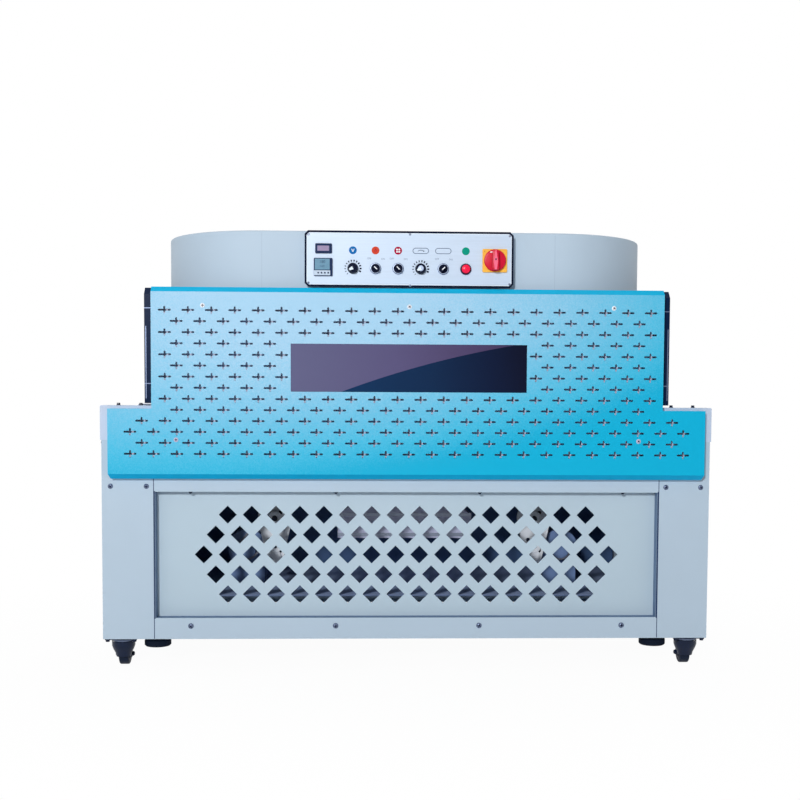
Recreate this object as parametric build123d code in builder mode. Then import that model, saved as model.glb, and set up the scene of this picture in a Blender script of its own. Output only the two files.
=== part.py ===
"""Heat shrink tunnel on casters: a sheet-metal cabinet, a roller conveyor and a tunnel under a rounded hood.

Millimetres, +Z up. The origin lies on the floor under the middle of the machine. Goods travel along X,
and the operator stands at -Y, facing the control panel.
"""
from build123d import *
import os
from math import atan, degrees, sqrt

os.makedirs("parts", exist_ok=True)

# Cabinet
LENGTH = 1600.0
CABINET_DEPTH = 600.0
FRAME_BOTTOM = 80.0
SHEET = 2.0
LEG_FACE = 134.0
LEG_RETURN = 95.0
LEG_TOP = 604.0
FOOT_PLATE_THICKNESS = 6.0
FOOT_PLATE_REACH = 28.0
BOTTOM_RAIL_HEIGHT = 54.0
RAIL_DEPTH = 38.0
RAIL_END_CLEARANCE = 30.0
BAY_TOP = 471.0
PANEL_RECESS = 30.0
PANEL_SIDE_GAP = 2.0
TRAY_LEVEL = 190.0
SIDE_PANEL_LAP = 35.0

# Diamond cut-outs of the front bay panel, counted row by row from the top
DIAMOND_DIAGONAL = 48.0
DIAMOND_PITCH = 63.5
DIAMOND_ROW_PITCH = 53.0
DIAMOND_MIDDLE_LEVEL = 300.0
DIAMOND_ROW_COUNTS = (16, 17, 18, 17, 16)

# Conveyor
CHEEK_HEIGHT = 90.0
CHEEK_OVERHANG = 3.0
CHEEK_TOP_FLANGE = 60.0
CHEEK_BOTTOM_FLANGE = 38.0
CHEEK_CORNER = 4.0
ROLLER_DIAMETER = 38.0
ROLLER_END_GAP = 12.0
ROLLER_PITCH = 76.0
ROLLER_SHAFT_DIAMETER = 12.0
ROLLER_SINK = 14.0
ROLLER_END_MARGIN = 38.0

# Tunnel
TUNNEL_END_INSET = 135.0
TUNNEL_WALL_THICKNESS = 75.0
TUNNEL_PASSAGE_TOP = 930.0
TUNNEL_TOP = 1000.0
TUNNEL_FLOOR_THICKNESS = 30.0
MOUTH_FRAME_THICKNESS = 22.0
MOUTH_FRAME_LIFT = 6.0
MOUTH_FRAME_CHAMFER = 18.0

# Covers in front of and behind the tunnel
COVER_DEPTH = 30.0
COVER_BOTTOM = 504.0
COVER_STEP_LEVEL = 686.0
COVER_END_INSET = 22.0
COVER_BEND = 13.0
COVER_SKIN = 2.0
WINDOW_LENGTH = 613.0
WINDOW_HEIGHT = 124.0
WINDOW_LEVEL = 793.5
PANE_THICKNESS = 4.0
PANE_LAP = 6.0

# Vent slots of the front cover, in rows that start half a pitch off
SLOT_LENGTH = 33.0
SLOT_HEIGHT = 19.5
SLOT_WIDTH = 5.0
SLOT_PITCH = 60.0
SLOT_ROWS = 14
SLOT_ROW_PITCH = 28.5
SLOT_TOP_LEVEL = 940.0
SLOT_UPPER_MARGIN = 12.0
SLOT_LOWER_MARGIN = 25.0
SLOT_WINDOW_MARGIN = 5.0

# Hood and control panel
HOOD_END_INSET = 5.0
HOOD_SIDE_INSET = 25.0
HOOD_HEIGHT = 152.0
HOOD_EDGE = 5.0
PANEL_LENGTH = 544.0
PANEL_HEIGHT = 145.0
PANEL_LEVEL = 1077.0
PANEL_THICKNESS = 3.0
PANEL_CORNER = 9.0
CONTROL_BOX_DEPTH = 25.0
CONTROL_BOX_INSET = 4.0

# Controls on the panel: places across the panel and above the floor
CONTROL_PITCH = 58.8
CONTROL_LEVEL = 1052.5
METER_SIZE = (43.0, 25.0)
METER_PLACE = (-223.0, 1103.0)
CONTROLLER_SIZE = (48.0, 46.0)
CONTROLLER_PLACE = (-224.0, 1055.0)
INSTRUMENT_HEIGHT = 5.0
INSTRUMENT_CORNER = 2.0
BEZEL_DIAMETER = 29.0
BEZEL_BORE = 23.0
BEZEL_HEIGHT = 4.0
BEZEL_RING_FLOOR = 1.0
KNOB_DIAMETER = 28.0
KNOB_TOP_DIAMETER = 24.0
KNOB_HEIGHT = 15.0
SELECTOR_DIAMETER = 22.0
SELECTOR_GRIP = (22.0, 7.0)
SELECTOR_GRIP_CORNER = 3.0
SELECTOR_HEIGHT = 14.0
SELECTOR_REST_TURNS = (-45.0, -45.0, 45.0)
BUTTON_DIAMETER = 22.0
BUTTON_PROUD = 6.0
BUTTON_EDGE = 1.5
BUTTON_TRAVEL = 4.0
SPINDLE_DIAMETER = 6.0
SPINDLE_DEPTH = 9.0
RUNNING_CLEARANCE = 0.08
FACE_CLEARANCE = 0.4
SWITCH_PLATE_SIZE = (64.0, 60.0)
SWITCH_PLATE_THICKNESS = 5.0
SWITCH_PLATE_CORNER = 3.0
SWITCH_PLACE = (222.5, 1075.0)
SWITCH_DISC_DIAMETER = 57.0
SWITCH_DISC_HEIGHT = 9.0
SWITCH_DISC_EDGE = 2.0
SWITCH_GRIP_LENGTH = 52.0
SWITCH_GRIP_WIDTHS = (19.0, 13.0)
SWITCH_GRIP_HEIGHT = 17.0
SWITCH_GRIP_TAPER = 4.0

# Circulation drive seen through the cut-outs: one on each side of the air duct
BRACKET_PLACE = 366.0
BRACKET_HUB_LEVEL = 377.0
BRACKET_LOW_LEVEL = 272.0
BRACKET_HUB_RADIUS = 48.0
BRACKET_LOW_RADIUS = 25.0
BRACKET_STEM_WIDTH = 60.0
BRACKET_THICKNESS = 8.0
BRACKET_FACE = -70.0
BEARING_RADIUS = 17.0
BEARING_PROUD = 10.0
PULLEY_RADIUS = 34.0
PULLEY_WIDTH = 20.0
PULLEY_GAP = 6.0
MOTOR_PLACE = 446.0
MOTOR_LEVEL = 285.0
MOTOR_RADIUS = 55.0
MOTOR_LENGTH = 170.0
MOTOR_FOOT_WIDTH = 96.0
MOTOR_PULLEY_RADIUS = 24.0
DRIVE_SHAFT_RADIUS = 8.0
BELT_THICKNESS = 5.0
BELT_WIDTH = 12.0
BELT_SEAT_GAP = 0.3
DUCT_LENGTH = 380.0
DUCT_NECK_LENGTH = 220.0
DUCT_BOTTOM = 318.0
DUCT_SHOULDER = 385.0
DUCT_NECK_LEVEL = 440.0
DUCT_FRONT = -50.0
DUCT_DEPTH = 240.0

# Casters and levelling feet
CASTER_PLATE_SETBACK = 3.0
CASTER_BOLT_MARGIN = 7.0
CASTER_PLATE_THICKNESS = 3.0
CASTER_PLATE_CORNER = 5.0
CASTER_BOLT_SPACING = 70.0
CASTER_BOLT_DIAMETER = 8.0
KINGPIN_RADIUS = 6.0
KINGPIN_LENGTH = 13.0
FORK_CROWN_RADIUS = 27.0
FORK_CROWN_THICKNESS = 9.0
FORK_CHEEK_THICKNESS = 3.0
FORK_CHEEK_GAP = 30.0
FORK_EYE_RADIUS = 10.0
FORK_SHOULDER_RADIUS = 16.0
WHEEL_RADIUS = 28.0
WHEEL_WIDTH = 26.0
WHEEL_HUB_RADIUS = 11.0
WHEEL_HUB_WIDTH = 28.0
WHEEL_TREAD_FILLET = 4.0
WHEEL_TRAIL = 22.0
AXLE_RADIUS = 4.0
AXLE_LENGTH = 50.0
FOOT_END_INSET = 136.0
FOOT_RADIUS = 35.0
FOOT_THICKNESS = 18.0
FOOT_EDGE = 3.0
FOOT_BOTTOM = 55.0
FOOT_STEM_RADIUS = 6.0
FOOT_STEM_TOP = 150.0

# Worked out from the sizes above
HALF_LENGTH = LENGTH / 2
HALF_DEPTH = CABINET_DEPTH / 2
LEG_INNER = HALF_LENGTH - LEG_FACE
BAY_BOTTOM = FRAME_BOTTOM + BOTTOM_RAIL_HEIGHT
BAY_MIDDLE = (BAY_BOTTOM + BAY_TOP) / 2
BAY_HEIGHT = BAY_TOP - BAY_BOTTOM
CHEEK_TOP = LEG_TOP + CHEEK_HEIGHT
CHEEK_END = HALF_LENGTH + CHEEK_OVERHANG
FLOOR_BOTTOM = LEG_TOP + SHEET
PANEL_BACK = HALF_DEPTH - PANEL_RECESS - SHEET
SIDE_PANEL_FACE = HALF_LENGTH - SHEET
SIDE_PANEL_HALF = HALF_DEPTH - LEG_RETURN + SIDE_PANEL_LAP
ROLLER_TOP = CHEEK_TOP - ROLLER_SINK
ROLLER_LEVEL = ROLLER_TOP - ROLLER_DIAMETER / 2
ROLLER_HALF = HALF_DEPTH - CHEEK_TOP_FLANGE - ROLLER_END_GAP
TUNNEL_HALF = HALF_LENGTH - TUNNEL_END_INSET
PASSAGE_HALF = HALF_DEPTH - TUNNEL_WALL_THICKNESS
COVER_FACE = HALF_DEPTH + COVER_DEPTH
COVER_LOWER_HALF = HALF_LENGTH - COVER_END_INSET
HOOD_HALF = TUNNEL_HALF - HOOD_END_INSET
HOOD_FRONT = HALF_DEPTH - HOOD_SIDE_INSET
PANEL_SEAT = HOOD_FRONT + CONTROL_BOX_DEPTH
PANEL_FACE = PANEL_SEAT + PANEL_THICKNESS
CONTROL_COLUMNS = [(column - 2.5) * CONTROL_PITCH for column in range(6)]
KNOB_COLUMNS = (CONTROL_COLUMNS[0], CONTROL_COLUMNS[3])
SELECTOR_COLUMNS = (CONTROL_COLUMNS[1], CONTROL_COLUMNS[2], CONTROL_COLUMNS[4])
BUTTON_COLUMN = CONTROL_COLUMNS[5]
BEZEL_PLACES = [(x, CONTROL_LEVEL) for x in SELECTOR_COLUMNS + (BUTTON_COLUMN,)]
SPINDLE_PLACES = [(x, CONTROL_LEVEL) for x in KNOB_COLUMNS] + BEZEL_PLACES + [SWITCH_PLACE]
CASTER_PLATE = CASTER_BOLT_SPACING + 2 * CASTER_BOLT_MARGIN
CASTER_INSET = CASTER_PLATE / 2 + CASTER_PLATE_SETBACK
CASTER_PLACE = (HALF_LENGTH - CASTER_INSET, HALF_DEPTH - CASTER_INSET)
FOOT_PLACE = (HALF_LENGTH - FOOT_END_INSET, HALF_DEPTH - CASTER_INSET)
CASTER_PLATE_BOTTOM = FRAME_BOTTOM - CASTER_PLATE_THICKNESS
FORK_TOP = CASTER_PLATE_BOTTOM - FACE_CLEARANCE
SIDES = (("left", -1), ("right", 1))
ENDS = (("front", -1), ("rear", 1))
CORNERS = [(side, end) for _, side in SIDES for _, end in ENDS]


def store(solid, name):
    """Name one finished piece and write its STEP file."""
    solid.label = name
    export_step(solid, f"parts/{name}.step")


def wall_plane(y):
    """An upright plane across the machine at depth y: x is X, y is Z, and it faces the operator."""
    return Plane((0, y, 0), x_dir=(1, 0, 0), z_dir=(0, -1, 0))


def end_plane(x):
    """An upright plane along the machine at place x: its x is Y and its y is Z."""
    return Plane((x, 0, 0), x_dir=(0, 1, 0), z_dir=(1, 0, 0))


# Legs: folded angles with a foot plate welded in for the caster and the levelling foot
with BuildPart() as legs:
    for side, end in CORNERS:
        with BuildSketch(Plane.XY.offset(FRAME_BOTTOM)):
            with BuildLine():
                Polyline(
                    (side * LEG_INNER, end * HALF_DEPTH),
                    (side * HALF_LENGTH, end * HALF_DEPTH),
                    (side * HALF_LENGTH, end * (HALF_DEPTH - LEG_RETURN)),
                    (side * (HALF_LENGTH - SHEET), end * (HALF_DEPTH - LEG_RETURN)),
                    (side * (HALF_LENGTH - SHEET), end * (HALF_DEPTH - SHEET)),
                    (side * LEG_INNER, end * (HALF_DEPTH - SHEET)),
                    close=True,
                )
            make_face()
        extrude(amount=LEG_TOP - FRAME_BOTTOM)
        plate_inner = LEG_INNER - FOOT_PLATE_REACH
        plate_outer = HALF_LENGTH - SHEET
        plate_deep = HALF_DEPTH - LEG_RETURN + SHEET
        plate_shallow = HALF_DEPTH - SHEET
        with BuildSketch(Plane.XY.offset(FRAME_BOTTOM)):
            with Locations((side * (plate_inner + plate_outer) / 2, end * (plate_deep + plate_shallow) / 2)):
                Rectangle(plate_outer - plate_inner, plate_shallow - plate_deep)
            with Locations((side * CASTER_PLACE[0], end * CASTER_PLACE[1])):
                with GridLocations(CASTER_BOLT_SPACING, CASTER_BOLT_SPACING, 2, 2):
                    Circle(CASTER_BOLT_DIAMETER / 2, mode=Mode.SUBTRACT)
            with Locations((side * FOOT_PLACE[0], end * FOOT_PLACE[1])):
                Circle(FOOT_STEM_RADIUS + RUNNING_CLEARANCE, mode=Mode.SUBTRACT)
        extrude(amount=FOOT_PLATE_THICKNESS)
store(legs.part, "legs")


def channel(bottom, top, end):
    """A rail between the legs at one face: a web flush with the legs and a flange along each edge."""
    with BuildPart() as rail:
        with BuildSketch(wall_plane(end * HALF_DEPTH)):
            with Locations((0, (bottom + top) / 2)):
                Rectangle(2 * LEG_INNER, top - bottom)
        extrude(amount=end * SHEET)
        for level in (bottom, top - SHEET):
            with BuildSketch(Plane.XY.offset(level)):
                with Locations((0, end * (HALF_DEPTH - RAIL_DEPTH / 2))):
                    Rectangle(2 * (LEG_INNER - RAIL_END_CLEARANCE), RAIL_DEPTH)
            extrude(amount=SHEET)
    return rail.part


RAIL_SPANS = ((FRAME_BOTTOM, BAY_BOTTOM), (BAY_TOP, LEG_TOP))
with BuildPart() as rails:
    for bottom, top in RAIL_SPANS:
        for _, end in ENDS:
            add(channel(bottom, top, end))
store(rails.part, "cabinet_rails")


def diamond_places():
    """Centres of the diamond cut-outs: each row is centred and sits half a pitch off its neighbours."""
    places = []
    for row, count in enumerate(DIAMOND_ROW_COUNTS):
        level = DIAMOND_MIDDLE_LEVEL + (len(DIAMOND_ROW_COUNTS) // 2 - row) * DIAMOND_ROW_PITCH
        for column in range(count):
            places.append(((column - (count - 1) / 2) * DIAMOND_PITCH, level))
    return places


def bay_tray(end):
    """A recessed panel that fills the bay between legs and rails, with walls out to the cabinet's face."""
    face = end * HALF_DEPTH
    back = end * PANEL_BACK
    length = 2 * (LEG_INNER - PANEL_SIDE_GAP)
    with BuildPart() as tray:
        with BuildSketch(wall_plane(face)):
            with Locations((0, BAY_MIDDLE)):
                Rectangle(length, BAY_HEIGHT)
        extrude(amount=end * (HALF_DEPTH - PANEL_BACK))
        with BuildSketch(wall_plane(face)):
            with Locations((0, BAY_MIDDLE)):
                Rectangle(length - 2 * SHEET, BAY_HEIGHT - 2 * SHEET)
        extrude(amount=end * PANEL_RECESS, mode=Mode.SUBTRACT)
        if end < 0:
            with BuildSketch(wall_plane(back)):
                with Locations(*diamond_places()):
                    Rectangle(DIAMOND_DIAGONAL / sqrt(2), DIAMOND_DIAGONAL / sqrt(2), rotation=45)
            extrude(amount=2 * SHEET, both=True, mode=Mode.SUBTRACT)
    return tray.part


store(bay_tray(-1), "lattice_panel")
store(bay_tray(1), "rear_panel")

with BuildPart() as side_panels:
    for _, side in SIDES:
        panel_bottom = FRAME_BOTTOM + FOOT_PLATE_THICKNESS
        panel_top = ROLLER_TOP - ROLLER_SINK
        with BuildSketch(end_plane(side * SIDE_PANEL_FACE)):
            with Locations((0, (panel_bottom + panel_top) / 2)):
                Rectangle(2 * SIDE_PANEL_HALF, panel_top - panel_bottom)
        extrude(amount=-side * SHEET)
store(side_panels.part, "side_panels")

with BuildPart() as floor_tray:
    with BuildSketch(Plane.XY.offset(TRAY_LEVEL)):
        Rectangle(2 * (SIDE_PANEL_FACE - SHEET), 2 * PANEL_BACK)
    extrude(amount=-SHEET)
store(floor_tray.part, "floor_tray")

# Conveyor cheeks: channels with closed ends and rounded top corners, open towards the rollers
with BuildPart() as cheeks:
    for _, end in ENDS:
        with BuildSketch(wall_plane(end * HALF_DEPTH)):
            with Locations((0, (LEG_TOP + CHEEK_TOP) / 2)):
                Rectangle(2 * CHEEK_END, CHEEK_HEIGHT)
        extrude(amount=end * CHEEK_TOP_FLANGE)
        with BuildSketch(wall_plane(end * (HALF_DEPTH - SHEET))):
            with Locations((0, (LEG_TOP + CHEEK_TOP) / 2)):
                Rectangle(2 * (CHEEK_END - SHEET), CHEEK_HEIGHT - 2 * SHEET)
        extrude(amount=end * CHEEK_TOP_FLANGE, mode=Mode.SUBTRACT)
        with BuildSketch(Plane.XY.offset(LEG_TOP)):
            with Locations((0, end * (HALF_DEPTH - (CHEEK_BOTTOM_FLANGE + CHEEK_TOP_FLANGE) / 2))):
                Rectangle(2 * (CHEEK_END - SHEET), CHEEK_TOP_FLANGE - CHEEK_BOTTOM_FLANGE)
        extrude(amount=SHEET, mode=Mode.SUBTRACT)
    outer_top_edges = cheeks.edges().filter_by(Axis.Y).group_by(Axis.Z)[-1]
    end_edges = [edge for edge in outer_top_edges if abs(edge.center().X) > CHEEK_END - SHEET / 2]
    fillet(end_edges, CHEEK_CORNER)
store(cheeks.part, "conveyor_cheeks")

roller_reach = HALF_LENGTH - ROLLER_END_MARGIN
roller_steps = int(roller_reach / ROLLER_PITCH)
with BuildPart() as rollers:
    for step in range(-roller_steps, roller_steps + 1):
        with BuildSketch(Plane((step * ROLLER_PITCH, 0, ROLLER_LEVEL), x_dir=(1, 0, 0), z_dir=(0, -1, 0))):
            Circle(ROLLER_DIAMETER / 2)
        extrude(amount=ROLLER_HALF, both=True)
        with BuildSketch(Plane((step * ROLLER_PITCH, 0, ROLLER_LEVEL), x_dir=(1, 0, 0), z_dir=(0, -1, 0))):
            Circle(ROLLER_SHAFT_DIAMETER / 2)
        extrude(amount=HALF_DEPTH - SHEET, both=True)
store(rollers.part, "conveyor_rollers")

# Tunnel floor: insulated, under the rollers and over the drive
with BuildPart() as tunnel_floor:
    with BuildSketch(Plane.XY.offset(FLOOR_BOTTOM)):
        Rectangle(2 * (SIDE_PANEL_FACE - SHEET), 2 * (HALF_DEPTH - SHEET))
    extrude(amount=TUNNEL_FLOOR_THICKNESS)
store(tunnel_floor.part, "tunnel_floor")

# Tunnel walls: insulated, one on each conveyor cheek. The front one is open behind the window
with BuildPart() as tunnel_walls:
    for _, end in ENDS:
        with BuildSketch(wall_plane(end * HALF_DEPTH)):
            with Locations((0, (CHEEK_TOP + TUNNEL_TOP) / 2)):
                Rectangle(2 * TUNNEL_HALF, TUNNEL_TOP - CHEEK_TOP)
            if end < 0:
                with Locations((0, WINDOW_LEVEL)):
                    Rectangle(WINDOW_LENGTH, WINDOW_HEIGHT, mode=Mode.SUBTRACT)
        extrude(amount=end * TUNNEL_WALL_THICKNESS)
store(tunnel_walls.part, "tunnel_walls")

with BuildPart() as tunnel_roof:
    with BuildSketch(Plane.XY.offset(TUNNEL_PASSAGE_TOP)):
        Rectangle(2 * TUNNEL_HALF, 2 * PASSAGE_HALF)
    extrude(amount=TUNNEL_TOP - TUNNEL_PASSAGE_TOP)
store(tunnel_roof.part, "tunnel_roof")

# Mouth frames: dark surrounds of the tunnel's two ends, open below for the conveyor
with BuildPart() as mouth_frames:
    for _, side in SIDES:
        frame_bottom = CHEEK_TOP + MOUTH_FRAME_LIFT
        with BuildSketch(end_plane(side * TUNNEL_HALF)):
            with Locations((0, (frame_bottom + TUNNEL_TOP) / 2)):
                surround = Rectangle(CABINET_DEPTH, TUNNEL_TOP - frame_bottom)
            chamfer(surround.vertices().group_by(Axis.Y)[-1], MOUTH_FRAME_CHAMFER)
            with Locations((0, (frame_bottom + TUNNEL_PASSAGE_TOP) / 2)):
                Rectangle(2 * PASSAGE_HALF, TUNNEL_PASSAGE_TOP - frame_bottom, mode=Mode.SUBTRACT)
        extrude(amount=side * MOUTH_FRAME_THICKNESS)
store(mouth_frames.part, "mouth_frames")


def cover_form(end, inset):
    """The stepped form of a cover with sloping bends along its top and bottom, drawn in by inset."""
    half_lower = COVER_LOWER_HALF - inset
    half_upper = TUNNEL_HALF - inset
    with BuildPart() as form:
        with BuildSketch(wall_plane(end * HALF_DEPTH)):
            with BuildLine():
                Polyline(
                    (-half_lower, COVER_BOTTOM + inset),
                    (half_lower, COVER_BOTTOM + inset),
                    (half_lower, COVER_STEP_LEVEL - inset),
                    (half_upper, COVER_STEP_LEVEL - inset),
                    (half_upper, TUNNEL_TOP - inset),
                    (-half_upper, TUNNEL_TOP - inset),
                    (-half_upper, COVER_STEP_LEVEL - inset),
                    (-half_lower, COVER_STEP_LEVEL - inset),
                    close=True,
                )
            make_face()
        extrude(amount=-end * (COVER_DEPTH - inset))
        outer = form.faces().sort_by(Axis.Y)[-1 if end > 0 else 0]
        bends = outer.edges().filter_by(Axis.X).sort_by(Axis.Z)
        chamfer([bends[0], bends[-1]], COVER_BEND - inset * (2 - sqrt(2)))
    return form.part


def cover_blank(end):
    """A folded cover of even thickness, open towards the machine."""
    with BuildPart() as blank:
        add(cover_form(end, 0))
        add(cover_form(end, COVER_SKIN), mode=Mode.SUBTRACT)
    return blank.part


def slot_places():
    """Centres of the cross slots: every other row sits half a pitch off, and rows stop beside the window."""
    places = []
    for row in range(SLOT_ROWS):
        level = SLOT_TOP_LEVEL - row * SLOT_ROW_PITCH
        above_step = level > COVER_STEP_LEVEL - SLOT_ROW_PITCH / 2
        edge = TUNNEL_HALF - SLOT_UPPER_MARGIN if above_step else COVER_LOWER_HALF - SLOT_LOWER_MARGIN
        shift = SLOT_PITCH / 2 if row % 2 == 0 else 0
        steps = int((edge - SLOT_LENGTH / 2 - shift) / SLOT_PITCH)
        reach = shift + steps * SLOT_PITCH
        beside_window = abs(level - WINDOW_LEVEL) < (WINDOW_HEIGHT + SLOT_WIDTH) / 2 + SLOT_WINDOW_MARGIN
        for column in range(round(2 * reach / SLOT_PITCH) + 1):
            place = -reach + column * SLOT_PITCH
            near = abs(place) < (WINDOW_LENGTH + SLOT_LENGTH) / 2 + SLOT_WINDOW_MARGIN
            if not (beside_window and near):
                places.append((place, level))
    return places


with BuildSketch() as cross_slot:
    Rectangle(SLOT_LENGTH, SLOT_WIDTH)
    Rectangle(SLOT_WIDTH, SLOT_HEIGHT)

with BuildPart() as front_cover:
    add(cover_blank(-1))
    with BuildSketch(wall_plane(-COVER_FACE)):
        with Locations((0, WINDOW_LEVEL)):
            Rectangle(WINDOW_LENGTH, WINDOW_HEIGHT)
        with Locations(*slot_places()):
            add(cross_slot.sketch)
    extrude(amount=-2 * COVER_SKIN, mode=Mode.SUBTRACT)
store(front_cover.part, "front_cover")

store(cover_blank(1), "rear_cover")

with BuildPart() as window_pane:
    with BuildSketch(wall_plane(-COVER_FACE + COVER_SKIN)):
        with Locations((0, WINDOW_LEVEL)):
            Rectangle(WINDOW_LENGTH + 2 * PANE_LAP, WINDOW_HEIGHT + 2 * PANE_LAP)
    extrude(amount=-PANE_THICKNESS)
store(window_pane.part, "window_pane")

with BuildPart() as hood:
    with BuildSketch(Plane.XY.offset(TUNNEL_TOP)):
        SlotOverall(2 * HOOD_HALF, 2 * HOOD_FRONT)
    extrude(amount=HOOD_HEIGHT)
    fillet(hood.faces().sort_by(Axis.Z)[-1].edges(), HOOD_EDGE)
store(hood.part, "hood")


def panel_outline(inset):
    """The control panel's outline with its cut corners, drawn in from the edge by inset."""
    with BuildSketch(mode=Mode.PRIVATE) as outline:
        plate = Rectangle(PANEL_LENGTH - 2 * inset, PANEL_HEIGHT - 2 * inset)
        chamfer(plate.vertices(), PANEL_CORNER)
    return outline.sketch


with BuildPart() as control_box:
    with BuildSketch(wall_plane(-HOOD_FRONT)):
        with Locations((0, PANEL_LEVEL)):
            add(panel_outline(CONTROL_BOX_INSET))
    extrude(amount=CONTROL_BOX_DEPTH)
    with BuildSketch(wall_plane(-PANEL_SEAT)):
        with Locations(*SPINDLE_PLACES):
            Circle(SPINDLE_DIAMETER / 2 + RUNNING_CLEARANCE)
    extrude(amount=-SPINDLE_DEPTH - BUTTON_TRAVEL, mode=Mode.SUBTRACT)
store(control_box.part, "control_box")

with BuildPart() as faceplate:
    with BuildSketch(wall_plane(-PANEL_SEAT)):
        with Locations((0, PANEL_LEVEL)):
            add(panel_outline(0))
        with Locations(*SPINDLE_PLACES):
            Circle(SPINDLE_DIAMETER / 2 + RUNNING_CLEARANCE, mode=Mode.SUBTRACT)
    extrude(amount=PANEL_THICKNESS)
store(faceplate.part, "faceplate")

# Instruments: a digital meter, a temperature controller and the bezels of the switches
with BuildPart() as instruments:
    for place, size in ((METER_PLACE, METER_SIZE), (CONTROLLER_PLACE, CONTROLLER_SIZE)):
        with BuildSketch(wall_plane(-PANEL_FACE)):
            with Locations(place):
                RectangleRounded(*size, INSTRUMENT_CORNER)
        extrude(amount=INSTRUMENT_HEIGHT)
    with BuildSketch(wall_plane(-PANEL_FACE)):
        with Locations(*BEZEL_PLACES):
            Circle(BEZEL_DIAMETER / 2)
            Circle(SPINDLE_DIAMETER / 2 + RUNNING_CLEARANCE, mode=Mode.SUBTRACT)
    extrude(amount=BEZEL_HEIGHT)
    with BuildSketch(wall_plane(-PANEL_FACE - BEZEL_RING_FLOOR)):
        with Locations(*BEZEL_PLACES):
            Circle(BEZEL_BORE / 2)
    extrude(amount=BEZEL_HEIGHT, mode=Mode.SUBTRACT)
store(instruments.part, "instruments")

with BuildPart() as switch_plate:
    with BuildSketch(wall_plane(-PANEL_FACE)):
        with Locations(SWITCH_PLACE):
            RectangleRounded(*SWITCH_PLATE_SIZE, SWITCH_PLATE_CORNER)
            Circle(SPINDLE_DIAMETER / 2 + RUNNING_CLEARANCE, mode=Mode.SUBTRACT)
    extrude(amount=SWITCH_PLATE_THICKNESS)
store(switch_plate.part, "switch_plate")


def control_plane(place, height):
    """A plane facing the operator at one control's axis, height in front of the panel."""
    return Plane((place[0], -PANEL_FACE - height, place[1]), x_dir=(1, 0, 0), z_dir=(0, -1, 0))


def spindle(place, seat):
    """The spindle of a control, from its seat in front of the panel back into the control box."""
    with BuildPart() as pin:
        with BuildSketch(control_plane(place, seat)):
            Circle(SPINDLE_DIAMETER / 2)
        extrude(amount=-seat - PANEL_THICKNESS - SPINDLE_DEPTH + FACE_CLEARANCE)
    return pin.part


for name, column in zip(("heat_knob", "speed_knob"), KNOB_COLUMNS):
    place = (column, CONTROL_LEVEL)
    with BuildPart() as knob:
        with BuildSketch(control_plane(place, FACE_CLEARANCE)):
            Circle(KNOB_DIAMETER / 2)
        with BuildSketch(control_plane(place, FACE_CLEARANCE + KNOB_HEIGHT)):
            Circle(KNOB_TOP_DIAMETER / 2)
        loft()
        add(spindle(place, FACE_CLEARANCE))
    store(knob.part, name)

for number, (column, turn) in enumerate(zip(SELECTOR_COLUMNS, SELECTOR_REST_TURNS), start=1):
    place = (column, CONTROL_LEVEL)
    seat = BEZEL_RING_FLOOR + FACE_CLEARANCE
    with BuildPart() as selector:
        with BuildSketch(control_plane(place, seat)):
            Circle(SELECTOR_DIAMETER / 2)
        extrude(amount=BEZEL_HEIGHT - BEZEL_RING_FLOOR)
        with BuildSketch(control_plane(place, BEZEL_HEIGHT)):
            grip_width, grip_length = SELECTOR_GRIP
            RectangleRounded(grip_width, grip_length - FACE_CLEARANCE, SELECTOR_GRIP_CORNER, rotation=turn)
        extrude(amount=SELECTOR_HEIGHT)
        add(spindle(place, seat))
    store(selector.part, f"selector_{number}")

with BuildPart() as push_button:
    place = (BUTTON_COLUMN, CONTROL_LEVEL)
    seat = BUTTON_TRAVEL + BEZEL_RING_FLOOR + FACE_CLEARANCE
    with BuildSketch(control_plane(place, seat)):
        Circle(BUTTON_DIAMETER / 2)
    extrude(amount=BUTTON_PROUD)
    fillet(push_button.faces().sort_by(Axis.Y)[0].edges(), BUTTON_EDGE)
    add(spindle(place, seat))
store(push_button.part, "push_button")

with BuildPart() as switch_handle:
    seat = SWITCH_PLATE_THICKNESS + FACE_CLEARANCE
    with BuildSketch(control_plane(SWITCH_PLACE, seat)):
        Circle(SWITCH_DISC_DIAMETER / 2)
    extrude(amount=SWITCH_DISC_HEIGHT)
    fillet(switch_handle.faces().sort_by(Axis.Y)[0].edges(), SWITCH_DISC_EDGE)
    with BuildSketch(control_plane(SWITCH_PLACE, seat + SWITCH_DISC_HEIGHT)):
        wide, narrow = SWITCH_GRIP_WIDTHS
        Trapezoid(wide, SWITCH_GRIP_LENGTH, degrees(atan(2 * SWITCH_GRIP_LENGTH / (wide - narrow))))
    extrude(amount=SWITCH_GRIP_HEIGHT, taper=SWITCH_GRIP_TAPER)
    add(spindle(SWITCH_PLACE, seat))
store(switch_handle.part, "switch_handle")

# Air duct: a shouldered box hung under the tunnel floor
with BuildPart() as air_duct:
    with BuildSketch(wall_plane(DUCT_FRONT)):
        with BuildLine():
            Polyline(
                (-DUCT_LENGTH / 2, DUCT_BOTTOM),
                (DUCT_LENGTH / 2, DUCT_BOTTOM),
                (DUCT_LENGTH / 2, DUCT_SHOULDER),
                (DUCT_NECK_LENGTH / 2, DUCT_NECK_LEVEL),
                (DUCT_NECK_LENGTH / 2, FLOOR_BOTTOM),
                (-DUCT_NECK_LENGTH / 2, FLOOR_BOTTOM),
                (-DUCT_NECK_LENGTH / 2, DUCT_NECK_LEVEL),
                (-DUCT_LENGTH / 2, DUCT_SHOULDER),
                close=True,
            )
        make_face()
    extrude(amount=-DUCT_DEPTH)
store(air_duct.part, "air_duct")

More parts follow.
